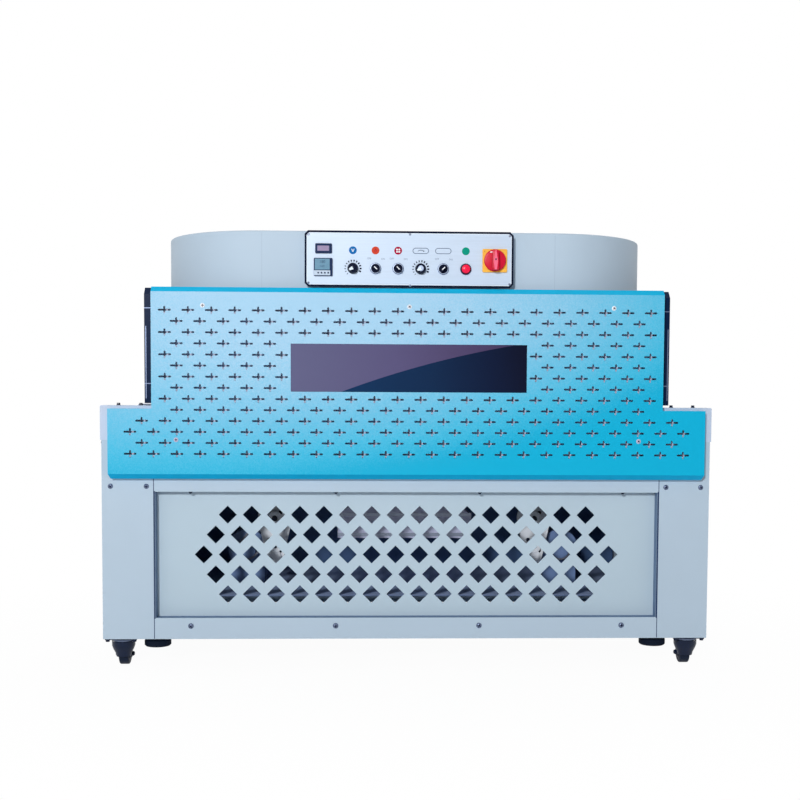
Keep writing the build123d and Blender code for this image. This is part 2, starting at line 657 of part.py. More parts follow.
# Bearing brackets: hanging plates with a hub above and a smaller boss below
with BuildPart() as bearing_brackets:
    for _, side in SIDES:
        hub = (side * BRACKET_PLACE, BRACKET_HUB_LEVEL)
        low = (side * BRACKET_PLACE, BRACKET_LOW_LEVEL)
        with BuildSketch(wall_plane(BRACKET_FACE)):
            with Locations(hub):
                Circle(BRACKET_HUB_RADIUS)
            with Locations(low):
                Circle(BRACKET_LOW_RADIUS)
            make_hull()
            with Locations((side * BRACKET_PLACE, (BRACKET_HUB_LEVEL + FLOOR_BOTTOM) / 2)):
                Rectangle(BRACKET_STEM_WIDTH, FLOOR_BOTTOM - BRACKET_HUB_LEVEL)
        extrude(amount=-BRACKET_THICKNESS)
        with BuildSketch(wall_plane(BRACKET_FACE)):
            with Locations(hub, low):
                Circle(BEARING_RADIUS)
        extrude(amount=BEARING_PROUD)
store(bearing_brackets.part, "bearing_brackets")

PULLEY_BACK = BRACKET_FACE + BRACKET_THICKNESS + PULLEY_GAP + PULLEY_WIDTH
PULLEY_MIDDLE = PULLEY_BACK - PULLEY_WIDTH / 2
with BuildPart() as pulleys:
    for _, side in SIDES:
        with BuildSketch(wall_plane(BRACKET_FACE + BRACKET_THICKNESS)):
            with Locations((side * BRACKET_PLACE, BRACKET_HUB_LEVEL)):
                Circle(DRIVE_SHAFT_RADIUS)
        extrude(amount=-PULLEY_GAP - PULLEY_WIDTH)
        with BuildSketch(wall_plane(PULLEY_BACK)):
            with Locations((side * BRACKET_PLACE, BRACKET_HUB_LEVEL)):
                Circle(PULLEY_RADIUS)
        extrude(amount=PULLEY_WIDTH)
store(pulleys.part, "pulleys")

# Motors: a barrel on a foot that stands on the tray, with a small pulley on the shaft
with BuildPart() as motors:
    for _, side in SIDES:
        motor_face = PULLEY_BACK + PULLEY_GAP
        with BuildSketch(wall_plane(motor_face)):
            with Locations((side * MOTOR_PLACE, MOTOR_LEVEL)):
                Circle(MOTOR_RADIUS)
            with Locations((side * MOTOR_PLACE, (TRAY_LEVEL + MOTOR_LEVEL) / 2)):
                Rectangle(MOTOR_FOOT_WIDTH, MOTOR_LEVEL - TRAY_LEVEL)
        extrude(amount=-MOTOR_LENGTH)
        with BuildSketch(wall_plane(motor_face)):
            with Locations((side * MOTOR_PLACE, MOTOR_LEVEL)):
                Circle(DRIVE_SHAFT_RADIUS)
        extrude(amount=PULLEY_GAP)
        with BuildSketch(wall_plane(PULLEY_BACK)):
            with Locations((side * MOTOR_PLACE, MOTOR_LEVEL)):
                Circle(MOTOR_PULLEY_RADIUS)
        extrude(amount=PULLEY_WIDTH)
store(motors.part, "motors")

with BuildPart() as drive_belts:
    for _, side in SIDES:
        hub = (side * BRACKET_PLACE, BRACKET_HUB_LEVEL)
        motor = (side * MOTOR_PLACE, MOTOR_LEVEL)
        with BuildSketch(wall_plane(PULLEY_MIDDLE - BELT_WIDTH / 2)):
            for step, mode in ((BELT_SEAT_GAP + BELT_THICKNESS, Mode.ADD), (BELT_SEAT_GAP, Mode.SUBTRACT)):
                with BuildSketch(mode=Mode.PRIVATE) as loop:
                    with Locations(hub):
                        Circle(PULLEY_RADIUS + step)
                    with Locations(motor):
                        Circle(MOTOR_PULLEY_RADIUS + step)
                    make_hull()
                add(loop.sketch, mode=mode)
        extrude(amount=-BELT_WIDTH)
store(drive_belts.part, "drive_belts")

# Caster plates, bolted under the foot plates, each with its kingpin
with BuildPart() as caster_plates:
    for side, end in CORNERS:
        with BuildSketch(Plane((side * CASTER_PLACE[0], end * CASTER_PLACE[1], CASTER_PLATE_BOTTOM))):
            RectangleRounded(CASTER_PLATE, CASTER_PLATE, CASTER_PLATE_CORNER)
            with GridLocations(CASTER_BOLT_SPACING, CASTER_BOLT_SPACING, 2, 2):
                Circle(CASTER_BOLT_DIAMETER / 2, mode=Mode.SUBTRACT)
        extrude(amount=CASTER_PLATE_THICKNESS)
        with BuildSketch(Plane((side * CASTER_PLACE[0], end * CASTER_PLACE[1], CASTER_PLATE_BOTTOM))):
            Circle(KINGPIN_RADIUS)
        extrude(amount=-KINGPIN_LENGTH)
store(caster_plates.part, "caster_plates")

for side_name, side in SIDES:
    for end_name, end in ENDS:
        x, y = side * CASTER_PLACE[0], end * CASTER_PLACE[1]
        axle_y = y - end * WHEEL_TRAIL
        with BuildPart() as fork:
            with BuildSketch(Plane((x, y, FORK_TOP))):
                Circle(FORK_CROWN_RADIUS)
                Circle(KINGPIN_RADIUS + RUNNING_CLEARANCE, mode=Mode.SUBTRACT)
            extrude(amount=-FORK_CROWN_THICKNESS)
            for cheek in (-1, 1):
                with BuildSketch(end_plane(x + cheek * FORK_CHEEK_GAP / 2)):
                    with Locations((y, FORK_TOP - FORK_SHOULDER_RADIUS)):
                        Circle(FORK_SHOULDER_RADIUS)
                    with Locations((axle_y, WHEEL_RADIUS)):
                        Circle(FORK_EYE_RADIUS)
                    make_hull()
                extrude(amount=cheek * FORK_CHEEK_THICKNESS)
            with BuildSketch(end_plane(x)):
                with Locations((axle_y, WHEEL_RADIUS)):
                    Circle(AXLE_RADIUS)
            extrude(amount=AXLE_LENGTH / 2, both=True)
        store(fork.part, f"fork_{end_name}_{side_name}")

        with BuildPart() as wheel:
            with BuildSketch(end_plane(x)):
                with Locations((axle_y, WHEEL_RADIUS)):
                    Circle(WHEEL_RADIUS)
            extrude(amount=WHEEL_WIDTH / 2, both=True)
            fillet(wheel.edges().filter_by(GeomType.CIRCLE), WHEEL_TREAD_FILLET)
            with BuildSketch(end_plane(x)):
                with Locations((axle_y, WHEEL_RADIUS)):
                    Circle(WHEEL_HUB_RADIUS)
            extrude(amount=WHEEL_HUB_WIDTH / 2, both=True)
            with BuildSketch(end_plane(x)):
                with Locations((axle_y, WHEEL_RADIUS)):
                    Circle(AXLE_RADIUS + RUNNING_CLEARANCE)
            extrude(amount=WHEEL_HUB_WIDTH, both=True, mode=Mode.SUBTRACT)
        store(wheel.part, f"wheel_{end_name}_{side_name}")

        with BuildPart() as foot:
            with BuildSketch(Plane((side * FOOT_PLACE[0], end * FOOT_PLACE[1], FOOT_BOTTOM))):
                Circle(FOOT_RADIUS)
            extrude(amount=FOOT_THICKNESS)
            chamfer(foot.edges().filter_by(GeomType.CIRCLE), FOOT_EDGE)
            stem_bottom = FOOT_BOTTOM + FOOT_THICKNESS
            with BuildSketch(Plane((side * FOOT_PLACE[0], end * FOOT_PLACE[1], stem_bottom))):
                Circle(FOOT_STEM_RADIUS)
            extrude(amount=FOOT_STEM_TOP - stem_bottom)
        store(foot.part, f"foot_{end_name}_{side_name}")
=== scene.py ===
"""The look of a heat shrink tunnel: paint, printing, glass, screws and the studio that it stands in.

Metres, in the CAD frame: X runs along the conveyor, the operator stands at -Y, and the floor is Z = 0.
"""
from math import cos, pi, radians, sin

import bmesh
import bpy
from mathutils import Matrix, Vector


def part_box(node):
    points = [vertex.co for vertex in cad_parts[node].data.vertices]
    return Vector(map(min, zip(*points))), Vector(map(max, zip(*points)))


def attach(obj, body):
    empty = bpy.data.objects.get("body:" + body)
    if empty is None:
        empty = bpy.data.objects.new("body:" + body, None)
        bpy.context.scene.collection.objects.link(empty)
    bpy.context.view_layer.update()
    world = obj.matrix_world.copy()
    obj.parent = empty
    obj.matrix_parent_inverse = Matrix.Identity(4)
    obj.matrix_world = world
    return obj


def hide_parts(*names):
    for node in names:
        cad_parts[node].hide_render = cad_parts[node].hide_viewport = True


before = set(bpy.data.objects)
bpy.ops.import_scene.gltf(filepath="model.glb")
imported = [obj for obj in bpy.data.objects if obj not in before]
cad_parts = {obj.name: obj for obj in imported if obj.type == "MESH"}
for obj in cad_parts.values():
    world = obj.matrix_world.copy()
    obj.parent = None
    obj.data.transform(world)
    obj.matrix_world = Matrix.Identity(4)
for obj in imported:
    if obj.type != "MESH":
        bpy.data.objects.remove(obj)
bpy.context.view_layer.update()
MM = 0.001
INK = 0.15  # thickness of a print, in millimetres

# Directions that a fastener or a print can face
FRONT = Vector((0, -1, 0))
BACK = Vector((0, 1, 0))
LEFT = Vector((-1, 0, 0))
RIGHT = Vector((1, 0, 0))
UP = Vector((0, 0, 1))
DOWN = Vector((0, 0, -1))
SIDES = ((-1, LEFT, "left"), (1, RIGHT, "right"))

# Places read from the frame
COVER_LOW, COVER_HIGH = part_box("front_cover")
_, REAR_COVER_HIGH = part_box("rear_cover")
PANEL_LOW, PANEL_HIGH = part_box("faceplate")
LEG_LOW, LEG_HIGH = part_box("legs")
_, CHEEK_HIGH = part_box("conveyor_cheeks")
PANE_LOW, PANE_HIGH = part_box("window_pane")
HOOD_LOW, HOOD_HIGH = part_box("hood")
_, MOUTH_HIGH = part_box("mouth_frames")
_, WALL_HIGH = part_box("tunnel_walls")
LATTICE_LOW, LATTICE_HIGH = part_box("lattice_panel")
BAY_LOW, BAY_HIGH = LATTICE_LOW.z, LATTICE_HIGH.z
LEG_FACE = 134 * MM
LEG_INNER = LEG_HIGH.x - LEG_FACE


def srgb(red, green, blue):
    """A colour given as it looks on a screen, 0 to 255, as the shaders' linear values."""
    linear = []
    for value in (red, green, blue):
        share = value / 255
        linear.append(share / 12.92 if share <= 0.04045 else ((share + 0.055) / 1.055) ** 2.4)
    return (*linear, 1.0)


def tint(colour, strength):
    """A screen colour made darker or lighter, as the shaders' linear values."""
    return tuple(min(1.0, channel * strength) for channel in srgb(*colour)[:3]) + (1.0,)


def math_node(operation, swapped=False):
    """A method of Value that adds one Math node, with its two values swapped if so asked."""
    def method(self, other):
        return self.finish.maths(operation, *((other, self) if swapped else (self, other)))
    return method


class Value:
    """A shader value that Python's operators work on. Each operator adds one Math node."""

    def __init__(self, finish, socket):
        self.finish = finish
        self.socket = socket

    __add__ = __radd__ = math_node("ADD")
    __sub__ = math_node("SUBTRACT")
    __rsub__ = math_node("SUBTRACT", swapped=True)
    __mul__ = __rmul__ = math_node("MULTIPLY")
    __truediv__ = math_node("DIVIDE")
    __lt__ = math_node("LESS_THAN")
    __gt__ = math_node("GREATER_THAN")


class Nodes:
    """The nodes of one material or world."""

    def __init__(self, tree):
        self.tree = tree
        tree.nodes.clear()

    def node(self, kind, settings=None, inputs=None, output=0):
        """Adds a node, sets it up, fills its sockets with values or links, and returns one output."""
        made = self.tree.nodes.new(kind)
        for name, value in (settings or {}).items():
            if name == "stops":
                while len(made.color_ramp.elements) < len(value):
                    made.color_ramp.elements.new(1)
                for element, (position, colour) in zip(made.color_ramp.elements, value):
                    element.position = position
                    element.color = colour
            else:
                setattr(made, name, value)
        for name, value in (inputs or {}).items():
            if isinstance(value, Value):
                self.tree.links.new(value.socket, made.inputs[name])
            else:
                made.inputs[name].default_value = value
        return Value(self, made.outputs[output]) if made.outputs else made

    def maths(self, operation, *values):
        """One Math node on values or numbers."""
        return self.node("ShaderNodeMath", {"operation": operation}, dict(enumerate(values)))

    def seen(self):
        """1 for rays that show the white studio, from the camera, off a gloss or through glass, else 0."""
        rays = [self.node("ShaderNodeLightPath", output=f"Is {kind} Ray") for kind in
                ("Camera", "Glossy", "Transmission")]
        return self.maths("MAXIMUM", self.maths("MAXIMUM", rays[0], rays[1]), rays[2])


class Finish(Nodes):
    """One procedural material, made around a Principled shader."""

    def __init__(self, name, **constants):
        self.material = bpy.data.materials.new(name)
        self.material.use_nodes = True
        super().__init__(self.material.node_tree)
        fixed = {socket.replace("_", " "): value for socket, value in constants.items()}
        self.shader = self.node("ShaderNodeBsdfPrincipled", inputs=fixed)
        self.output = self.node("ShaderNodeOutputMaterial", inputs={"Surface": self.shader})

    def feed(self, **varying):
        """Links what changes over the surface to the shader."""
        for name, value in varying.items():
            self.tree.links.new(value.socket, self.shader.socket.node.inputs[name.replace("_", " ")])
        return self.material

    def place(self, stretch=(1, 1, 1)):
        """Object coordinates in metres, stretched along each axis."""
        spot = self.node("ShaderNodeTexCoord", output="Object")
        return self.node("ShaderNodeVectorMath", {"operation": "MULTIPLY"}, {0: spot, 1: stretch})

    def axes(self):
        """The three object coordinates as values."""
        spot = self.node("ShaderNodeTexCoord", output="Object")
        return [self.node("ShaderNodeSeparateXYZ", inputs={0: spot}, output=axis) for axis in "XYZ"]

    def noise(self, scale, detail=2.0, stretch=(1, 1, 1), roughness=0.5):
        """Fractal noise from 0 to 1, with scale in features a metre."""
        inputs = {"Vector": self.place(stretch), "Scale": scale, "Detail": detail, "Roughness": roughness}
        return self.node("ShaderNodeTexNoise", inputs=inputs)

    def ramp(self, value, *stops):
        return self.node("ShaderNodeValToRGB", {"stops": stops}, {0: value})

    def blend(self, share, first, second):
        """First colour where share is 0, second where it is 1."""
        return self.node("ShaderNodeMix", {"data_type": "RGBA"}, {0: share, 6: first, 7: second}, output=2)

    def bump(self, height, depth, strength=1.0):
        """A surface normal from a height of 0 to 1 that stands for a depth in metres."""
        return self.node("ShaderNodeBump", inputs={"Height": height, "Distance": depth, "Strength": strength})


def powder_coat(name, colour, grain=0.00012, gloss=0.42, other=None, axis="Y", facing=(-2.0, 0.5)):
    """Sprayed and baked paint on sheet: a fine orange peel, faint clouding and a little dust near the floor.

    Faces whose normal lies between two limits along one axis take another colour, a painted shade for inner
    faces that lie in shadow.
    """
    finish = Finish(name, Metallic=0.0, Specular_IOR_Level=0.2)
    clouds = finish.noise(5.0, 3.0)
    peel = finish.noise(900.0, 1.0)
    height = finish.axes()[2]
    dust = finish.node("ShaderNodeMapRange", inputs={0: height, 1: 0.0, 2: 0.5, 3: 0.12, 4: 0.0})
    painted = finish.blend(clouds, tint(colour, 0.94), tint(colour, 1.05))
    specks = finish.noise(1500.0, 2.0)
    speckled = finish.blend((specks - 0.5) * 0.35 + 0.1, painted, tint(colour, 0.82))
    coloured = finish.blend(dust * clouds, speckled, srgb(136, 146, 158))
    # Painted shade: faces turned between the limits take the other, darker colour.
    if other:
        normal = finish.node("ShaderNodeNewGeometry", output="Normal")
        along = finish.node("ShaderNodeSeparateXYZ", inputs={0: normal}, output=axis)
        painted_shade_faces = (along < facing[1]) * (along > facing[0])
        coloured = finish.blend(painted_shade_faces, coloured, srgb(*other))
    return finish.feed(Base_Color=coloured, Roughness=gloss + clouds * 0.08 + dust,
                       Normal=finish.bump(peel + specks * 0.4, grain))


def cover_paint_and_sheen():
    """The cover's blue paint, with a painted sheen that makes it pale towards its top and deep towards its
    lower right.
    """
    finish = Finish("cover_blue_and_painted_sheen", Metallic=0.0, Specular_IOR_Level=0.12)
    x, _, z = finish.axes()
    # Painted sheen: the gradient by height and by place along X stands for reflected light; the noise below
    # adds a real mottle.
    drop = COVER_HIGH.z - 0.015 - z
    share = drop * drop * 4.3 * (1 + 0.45 * x) + x * 0.34 + x * x * 0.62
    clouds = finish.noise(3.0, 2.0)
    grain = finish.noise(1100.0, 2.0)
    mottle = finish.noise(320.0, 2.0)
    share = share + (clouds - 0.5) * 0.10 + (grain - 0.5) * 0.30 + (mottle - 0.5) * 0.40
    colour = finish.ramp(share, (0.0, srgb(164, 205, 232)), (0.33, srgb(112, 191, 224)),
                         (0.6, srgb(66, 184, 220)), (0.82, srgb(20, 172, 212)), (1.0, srgb(4, 174, 214)))
    peel = finish.noise(700.0, 1.0)
    return finish.feed(Base_Color=colour, Roughness=0.46 + (grain - 0.5) * 0.14,
                       Normal=finish.bump(peel + grain * 0.5, 0.00012))


def plain_paint(name, colour, gloss=0.4, grain=0.00006, metallic=0.0, specular=0.2):
    """A smooth even finish with slight wear in its gloss and a fine grain."""
    finish = Finish(name, Metallic=metallic, Specular_IOR_Level=specular)
    clouds = finish.noise(40.0, 3.0)
    fine = finish.noise(1400.0, 1.0)
    return finish.feed(Base_Color=finish.blend(clouds, tint(colour, 0.90), tint(colour, 1.08)),
                       Roughness=gloss + (clouds - 0.5) * 0.12, Normal=finish.bump(fine, grain))


def brushed_metal(name, colour, stretch, gloss=0.3, metallic=0.9, depth=0.00005):
    """Metal with fine brush lines. The stretch is small along the lines and large across them."""
    finish = Finish(name, Metallic=metallic)
    lines = finish.noise(60.0, 4.0, stretch, 0.65)
    clouds = finish.noise(9.0, 2.0)
    shade = finish.blend(lines * 0.8 + clouds * 0.2, tint(colour, 0.86), tint(colour, 1.10))
    return finish.feed(Base_Color=shade, Roughness=gloss + (lines - 0.5) * 0.25 + (clouds - 0.5) * 0.1,
                       Normal=finish.bump(lines, depth))


def window_glass():
    """Tinted heat-proof glass with a painted reflection: a pale patch towards the upper left that ends along
    one wide arc.
    """
    finish = Finish("window_glass", Metallic=0.0, Specular_IOR_Level=0.06)
    x, _, z = finish.axes()
    # Painted reflection: the pale patch lies inside the circle of this middle and radius.
    middle_x, middle_z, radius = 0.69, -1.56, 2.45
    across, above = x - middle_x, z - middle_z
    reach = finish.maths("SQRT", across * across + above * above)
    reflection_mask = finish.node("ShaderNodeMapRange", inputs={0: reach, 1: radius - 0.0006, 2: radius + 0.0006})
    along = (x - PANE_LOW.x) / (PANE_HIGH.x - PANE_LOW.x)
    clouds = finish.noise(4.0, 2.0)
    # The dark tint darkens towards the right; the second ramp gives the painted reflection its colour.
    deep = finish.ramp(along + (clouds - 0.5) * 0.15, (0.25, srgb(18, 50, 88)), (0.6, srgb(16, 42, 76)),
                       (0.85, srgb(12, 26, 56)), (1.0, srgb(10, 14, 38)))
    painted_reflection = finish.ramp(along + (clouds - 0.5) * 0.1, (0.0, srgb(98, 98, 132)), (0.45, srgb(90, 84, 122)),
                       (0.8, srgb(76, 64, 100)), (1.0, srgb(62, 46, 80)))
    return finish.feed(Base_Color=finish.blend(reflection_mask, deep, painted_reflection), Roughness=0.07 + clouds * 0.03)


def lamp_lens(name, colour, glow=0.15):
    """A moulded translucent lens with a soft glow and a faint mottle."""
    finish = Finish(name, Metallic=0.0, Specular_IOR_Level=0.25, Emission_Strength=glow)
    clouds = finish.noise(120.0, 2.0)
    lens = finish.blend(clouds, tint(colour, 0.85), tint(colour, 1.05))
    return finish.feed(Base_Color=lens, Emission_Color=lens, Roughness=0.2 + clouds * 0.05,
                       Normal=finish.bump(clouds, 0.0001))


def print_ink(name, colour):
    """Screen-printed ink with a faint mottle."""
    return plain_paint(name, colour, 0.5, 0.00002, specular=0.05)


CABINET = powder_coat("cabinet_paint", (180, 198, 214))
# The lattice panel, floor tray and rear sheet take a darker other colour on their inner faces, as painted
# shade.
LATTICE = powder_coat("lattice_paint", (181, 200, 213), other=(100, 124, 156), facing=(-0.5, 0.5))
HOOD_PAINT = powder_coat("hood_paint", (184, 202, 218), 0.0002, 0.5)
CHEEK = powder_coat("cheek_paint", (194, 206, 226))
TRAY = powder_coat("tray_paint", (168, 190, 232), gloss=0.5, other=(66, 84, 118), axis="Z")
REAR_SHEET = powder_coat("rear_sheet_paint", (178, 196, 212), other=(84, 116, 164), facing=(-2.0, -0.5))
# Painted shade: the colour of the dark strips that stand for the shaded gaps beside the legs.
GAP_SHADE = plain_paint("seam_shadow", (34, 54, 90), 0.6)
BOX_PAINT = powder_coat("control_box_paint", (170, 188, 206))
COVER = cover_paint_and_sheen()
COVER_EDGE = plain_paint("cover_edge", (4, 176, 222), specular=0.1)
# A darker copy of the fold colour: painted shade on the lower, downward-facing fold.
COVER_EDGE_SHADED = plain_paint("cover_edge_painted_shade", (4, 160, 208), specular=0.1)
LINER = plain_paint("liner_sheet", (196, 204, 228), 0.5)
MOUTH = plain_paint("mouth_paint", (4, 28, 60), 0.3, specular=0.06)
FACEPLATE = brushed_metal("brushed_plate", (188, 204, 224), (0.10, 1, 3.0), 0.45, 0.1)
ROLLER = brushed_metal("roller_steel", (176, 180, 186), (1, 5.0, 1), 0.36, depth=0.00001)
TUNNEL_SHEET = brushed_metal("tunnel_sheet", (128, 134, 142), (0.3, 1, 2.0), 0.45)
DUCT = brushed_metal("galvanised_sheet", (196, 202, 232), (1, 1, 1), 0.4, 0.1)
ZINC = brushed_metal("zinc_plate", (150, 160, 180), (1, 1, 2.0), 0.32)
CHROME = brushed_metal("bright_steel", (176, 186, 204), (1, 1, 1), 0.2, 0.9, 0.00002)
DULL_STEEL = brushed_metal("dull_steel", (96, 108, 134), (1, 1, 1), 0.35, 0.6, 0.00002)
BEZEL = brushed_metal("bezel_steel", (160, 174, 200), (1, 1, 1), 0.35, 0.4, 0.00002)
DARK_STEEL = plain_paint("black_steel", (12, 26, 52), 0.32)
IRON = plain_paint("pulley_iron", (84, 88, 96), 0.4, metallic=0.6)
MOTOR = plain_paint("motor_paint", (112, 138, 184), 0.45)
BRACKET = plain_paint("bracket_paint", (234, 240, 250), 0.4)
RUBBER = plain_paint("black_rubber", (10, 20, 36), 0.75, 0.0002, specular=0.1)
BELT = plain_paint("belt_rubber", (132, 136, 150), 0.65, 0.0002)
TREAD = plain_paint("wheel_tread", (10, 24, 46), 0.5, 0.0002, specular=0.15)
BLACK_PLASTIC = plain_paint("black_plastic", (4, 14, 40), 0.35, 0.0001, specular=0.04)
CASE_PLASTIC = plain_paint("case_plastic", (24, 42, 78), 0.4, 0.0001, specular=0.06)
RED_PLASTIC = plain_paint("red_plastic", (206, 16, 52), 0.3, 0.0001, specular=0.15)
# Painted highlight: the pale red of the strip along the switch grip.
RED_GRIP_HIGHLIGHT = plain_paint("red_grip_painted_highlight", (246, 110, 140), 0.28, 0.0001)
YELLOW_PLASTIC = plain_paint("yellow_plastic", (248, 186, 74), 0.35, 0.0001, specular=0.15)
RED_LENS = lamp_lens("red_lens", (236, 16, 66))
BLUE_PRINT = print_ink("blue_print", (18, 106, 174))
ORANGE_PRINT = print_ink("orange_print", (208, 72, 48))
CRIMSON_PRINT = print_ink("crimson_print", (170, 24, 62))
GREEN_PRINT = print_ink("green_print", (8, 148, 124))
WHITE_PRINT = print_ink("white_print", (236, 240, 246))
BLACK_PRINT = print_ink("black_print", (2, 12, 40))
GREY_PRINT = print_ink("grey_print", (104, 118, 142))
PALE_PRINT = print_ink("pale_print", (226, 238, 252))
LILAC_PRINT = print_ink("lilac_print", (196, 190, 214))
LCD = lamp_lens("lcd_face", (98, 142, 168), 0.05)
LCD_DIGITS = print_ink("lcd_digits", (66, 98, 130))
METER_FACE = lamp_lens("meter_face", (128, 124, 160), 0.05)
METER_GLOW = lamp_lens("meter_glow", (146, 130, 164), 0.08)
GREY_KEYS = plain_paint("key_strip", (190, 206, 224), 0.45)
RUBY_RING = plain_paint("dark_red_ring", (46, 8, 38), 0.3)
GLASS = window_glass()


def seat(place, direction):
    """The matrix that puts a piece made about the origin, facing +Z, at a place and facing a direction."""
    turn = Vector(direction).to_track_quat("Z", "Y").to_matrix().to_4x4()
    return Matrix.Translation(place) @ turn


def add_object(name, data):
    """A new object in the scene."""
    made = bpy.data.objects.new(name, data)
    bpy.context.scene.collection.objects.link(made)
    return made


def finish_piece(name, parts, materials, body="machine", smooth=False, replaces=()):
    """Makes a named piece of the object from its parts, as gather takes them."""
    mesh = gather(parts)
    piece = add_object(name, mesh)
    for material in materials if isinstance(materials, list) else [materials]:
        mesh.materials.append(material)
    if smooth:
        mesh.shade_smooth()
        mesh.set_sharp_from_angle(angle=radians(35))
    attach(piece, body)
    if replaces:
        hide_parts(*replaces)


def scaled(points):
    """Points in millimetres as metres."""
    return [(x * MM, y * MM) for x, y in points]


def single(name, mesh, place, material, body="machine", smooth=False):
    """Makes a piece of the object from one mesh and the matrix that puts it in place."""
    finish_piece(name, [(mesh, place)], material, body, smooth)


def mesh_of(bm):
    """The mesh of a bmesh, which is freed."""
    mesh = bpy.data.meshes.new("shape")
    bm.to_mesh(mesh)
    bm.free()
    return mesh


def lathe(profile, steps=24):
    """A mesh turned about Z from (radius, height) points in millimetres."""
    bm = bmesh.new()
    rings = []
    for radius, height in scaled(profile):
        if radius < 1e-7:
            rings.append([bm.verts.new((0, 0, height))])
            continue
        ring = []
        for step in range(steps):
            angle = 2 * pi * step / steps
            ring.append(bm.verts.new((radius * cos(angle), radius * sin(angle), height)))
        rings.append(ring)
    for low, high in zip(rings, rings[1:]):
        for step in range(max(len(low), len(high))):
            following = (step + 1) % max(len(low), len(high))
            corners = [low[step % len(low)], low[following % len(low)]]
            corners += [high[following % len(high)], high[step % len(high)]]
            corners = list(dict.fromkeys(corners))
            if len(corners) > 2:
                bm.faces.new(corners)
    bmesh.ops.recalc_face_normals(bm, faces=bm.faces)
    return mesh_of(bm)


def mesh_from(curve):
    """The mesh of a curve or a text, which is removed."""
    maker = add_object(curve.name, curve)
    bpy.context.view_layer.update()
    mesh = bpy.data.meshes.new_from_object(maker.evaluated_get(bpy.context.evaluated_depsgraph_get()))
    bpy.data.objects.remove(maker)
    bpy.data.curves.remove(curve)
    return mesh


def plate(outlines, thickness, bevel=0.0):
    """A flat plate on Z = 0 that faces +Z, from a closed outline in XY with further outlines as holes."""
    curve = bpy.data.curves.new("outline", "CURVE")
    curve.dimensions = "2D"
    curve.fill_mode = "BOTH"
    curve.extrude = (thickness - 2 * bevel) / 2
    curve.bevel_depth = bevel
    curve.bevel_resolution = 1
    curve.offset = -bevel
    for outline in outlines:
        spline = curve.splines.new("POLY")
        spline.points.add(len(outline) - 1)
        for point, (x, y) in zip(spline.points, outline):
            point.co = (x, y, 0, 1)
        spline.use_cyclic_u = True
    mesh = mesh_from(curve)
    mesh.transform(Matrix.Translation((0, 0, thickness / 2)))
    bm = bmesh.new()
    bm.from_mesh(mesh)
    bmesh.ops.remove_doubles(bm, verts=bm.verts, dist=1e-6)
    bm.to_mesh(mesh)
    bm.free()
    return mesh


def flat(outline, thickness=INK):
    """A plate from one outline, in millimetres. Its usual thickness is that of a print."""
    return plate([scaled(outline)], thickness * MM)


def lettering(words, height):
    """The mesh of a short print, centred on the origin and facing +Z."""
    text = bpy.data.curves.new("print", "FONT")
    text.body = words
    text.size = height
    text.align_x = "CENTER"
    text.align_y = "CENTER"
    text.extrude = 0.00005
    return mesh_from(text)


def gather(parts):
    """One mesh from (mesh, matrix) or (mesh, matrix, material index) parts.

    A part without an index keeps the material indices of its mesh.
    """
    bm = bmesh.new()
    for mesh, matrix, *index in parts:
        first_vert, first_face = len(bm.verts), len(bm.faces)
        bm.from_mesh(mesh)
        bm.verts.ensure_lookup_table()
        bm.faces.ensure_lookup_table()
        for vert in bm.verts[first_vert:]:
            vert.co = matrix @ vert.co
        for face in bm.faces[first_face:] if index else ():
            face.material_index = index[0]
    return mesh_of(bm)


def rounded(width, height, radius, centre=(0, 0), steps=5):
    """The outline of a rectangle with rounded corners."""
    points = []
    for corner in range(4):
        middle_x = centre[0] + (width / 2 - radius) * (1 if corner in (0, 3) else -1)
        middle_y = centre[1] + (height / 2 - radius) * (1 if corner in (0, 1) else -1)
        for step in range(steps + 1):
            angle = corner * pi / 2 + step * pi / 2 / steps
            points.append((middle_x + radius * cos(angle), middle_y + radius * sin(angle)))
    return points


def circle(radius, centre=(0, 0), steps=32):
    """The outline of a circle."""
    angles = [2 * pi * step / steps for step in range(steps)]
    return [(centre[0] + radius * cos(a), centre[1] + radius * sin(a)) for a in angles]


def dress_frame():
    """Gives each CAD node that stays its finish."""
    finishes = {
        CABINET: ["legs", "cabinet_rails", "side_panels"],
        REAR_SHEET: ["rear_panel"],
        LATTICE: ["lattice_panel"],
        HOOD_PAINT: ["hood"],
        CHEEK: ["conveyor_cheeks"],
        TRAY: ["floor_tray"],
        MOUTH: ["mouth_frames"],
        TUNNEL_SHEET: ["tunnel_walls", "tunnel_roof", "tunnel_floor"],
        ROLLER: ["conveyor_rollers"],
        GLASS: ["window_pane"],
        BOX_PAINT: ["control_box"],
        FACEPLATE: ["faceplate"],
        CASE_PLASTIC: ["instruments"],
        YELLOW_PLASTIC: ["switch_plate"],
        RED_LENS: ["push_button"],
        BLACK_PLASTIC: ["heat_knob", "speed_knob", "selector_1", "selector_2", "selector_3"],
        DUCT: ["air_duct"],
        BRACKET: ["bearing_brackets"],
        IRON: ["pulleys"],
        MOTOR: ["motors"],
        BELT: ["drive_belts"],
        DARK_STEEL: ["caster_plates", *(f"fork_{corner}" for corner in CORNERS)],
        TREAD: [f"wheel_{corner}" for corner in CORNERS],
        RUBBER: [f"foot_{corner}" for corner in CORNERS],
        # The rear cover takes the same paint, painted sheen included.
        COVER: ["rear_cover"],
    }
    for material, nodes in finishes.items():
        for node in nodes:
            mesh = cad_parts[node].data
            mesh.materials.clear()
            mesh.materials.append(material)


CORNERS = [f"{end}_{side}" for side in ("left", "right") for end in ("front", "rear")]

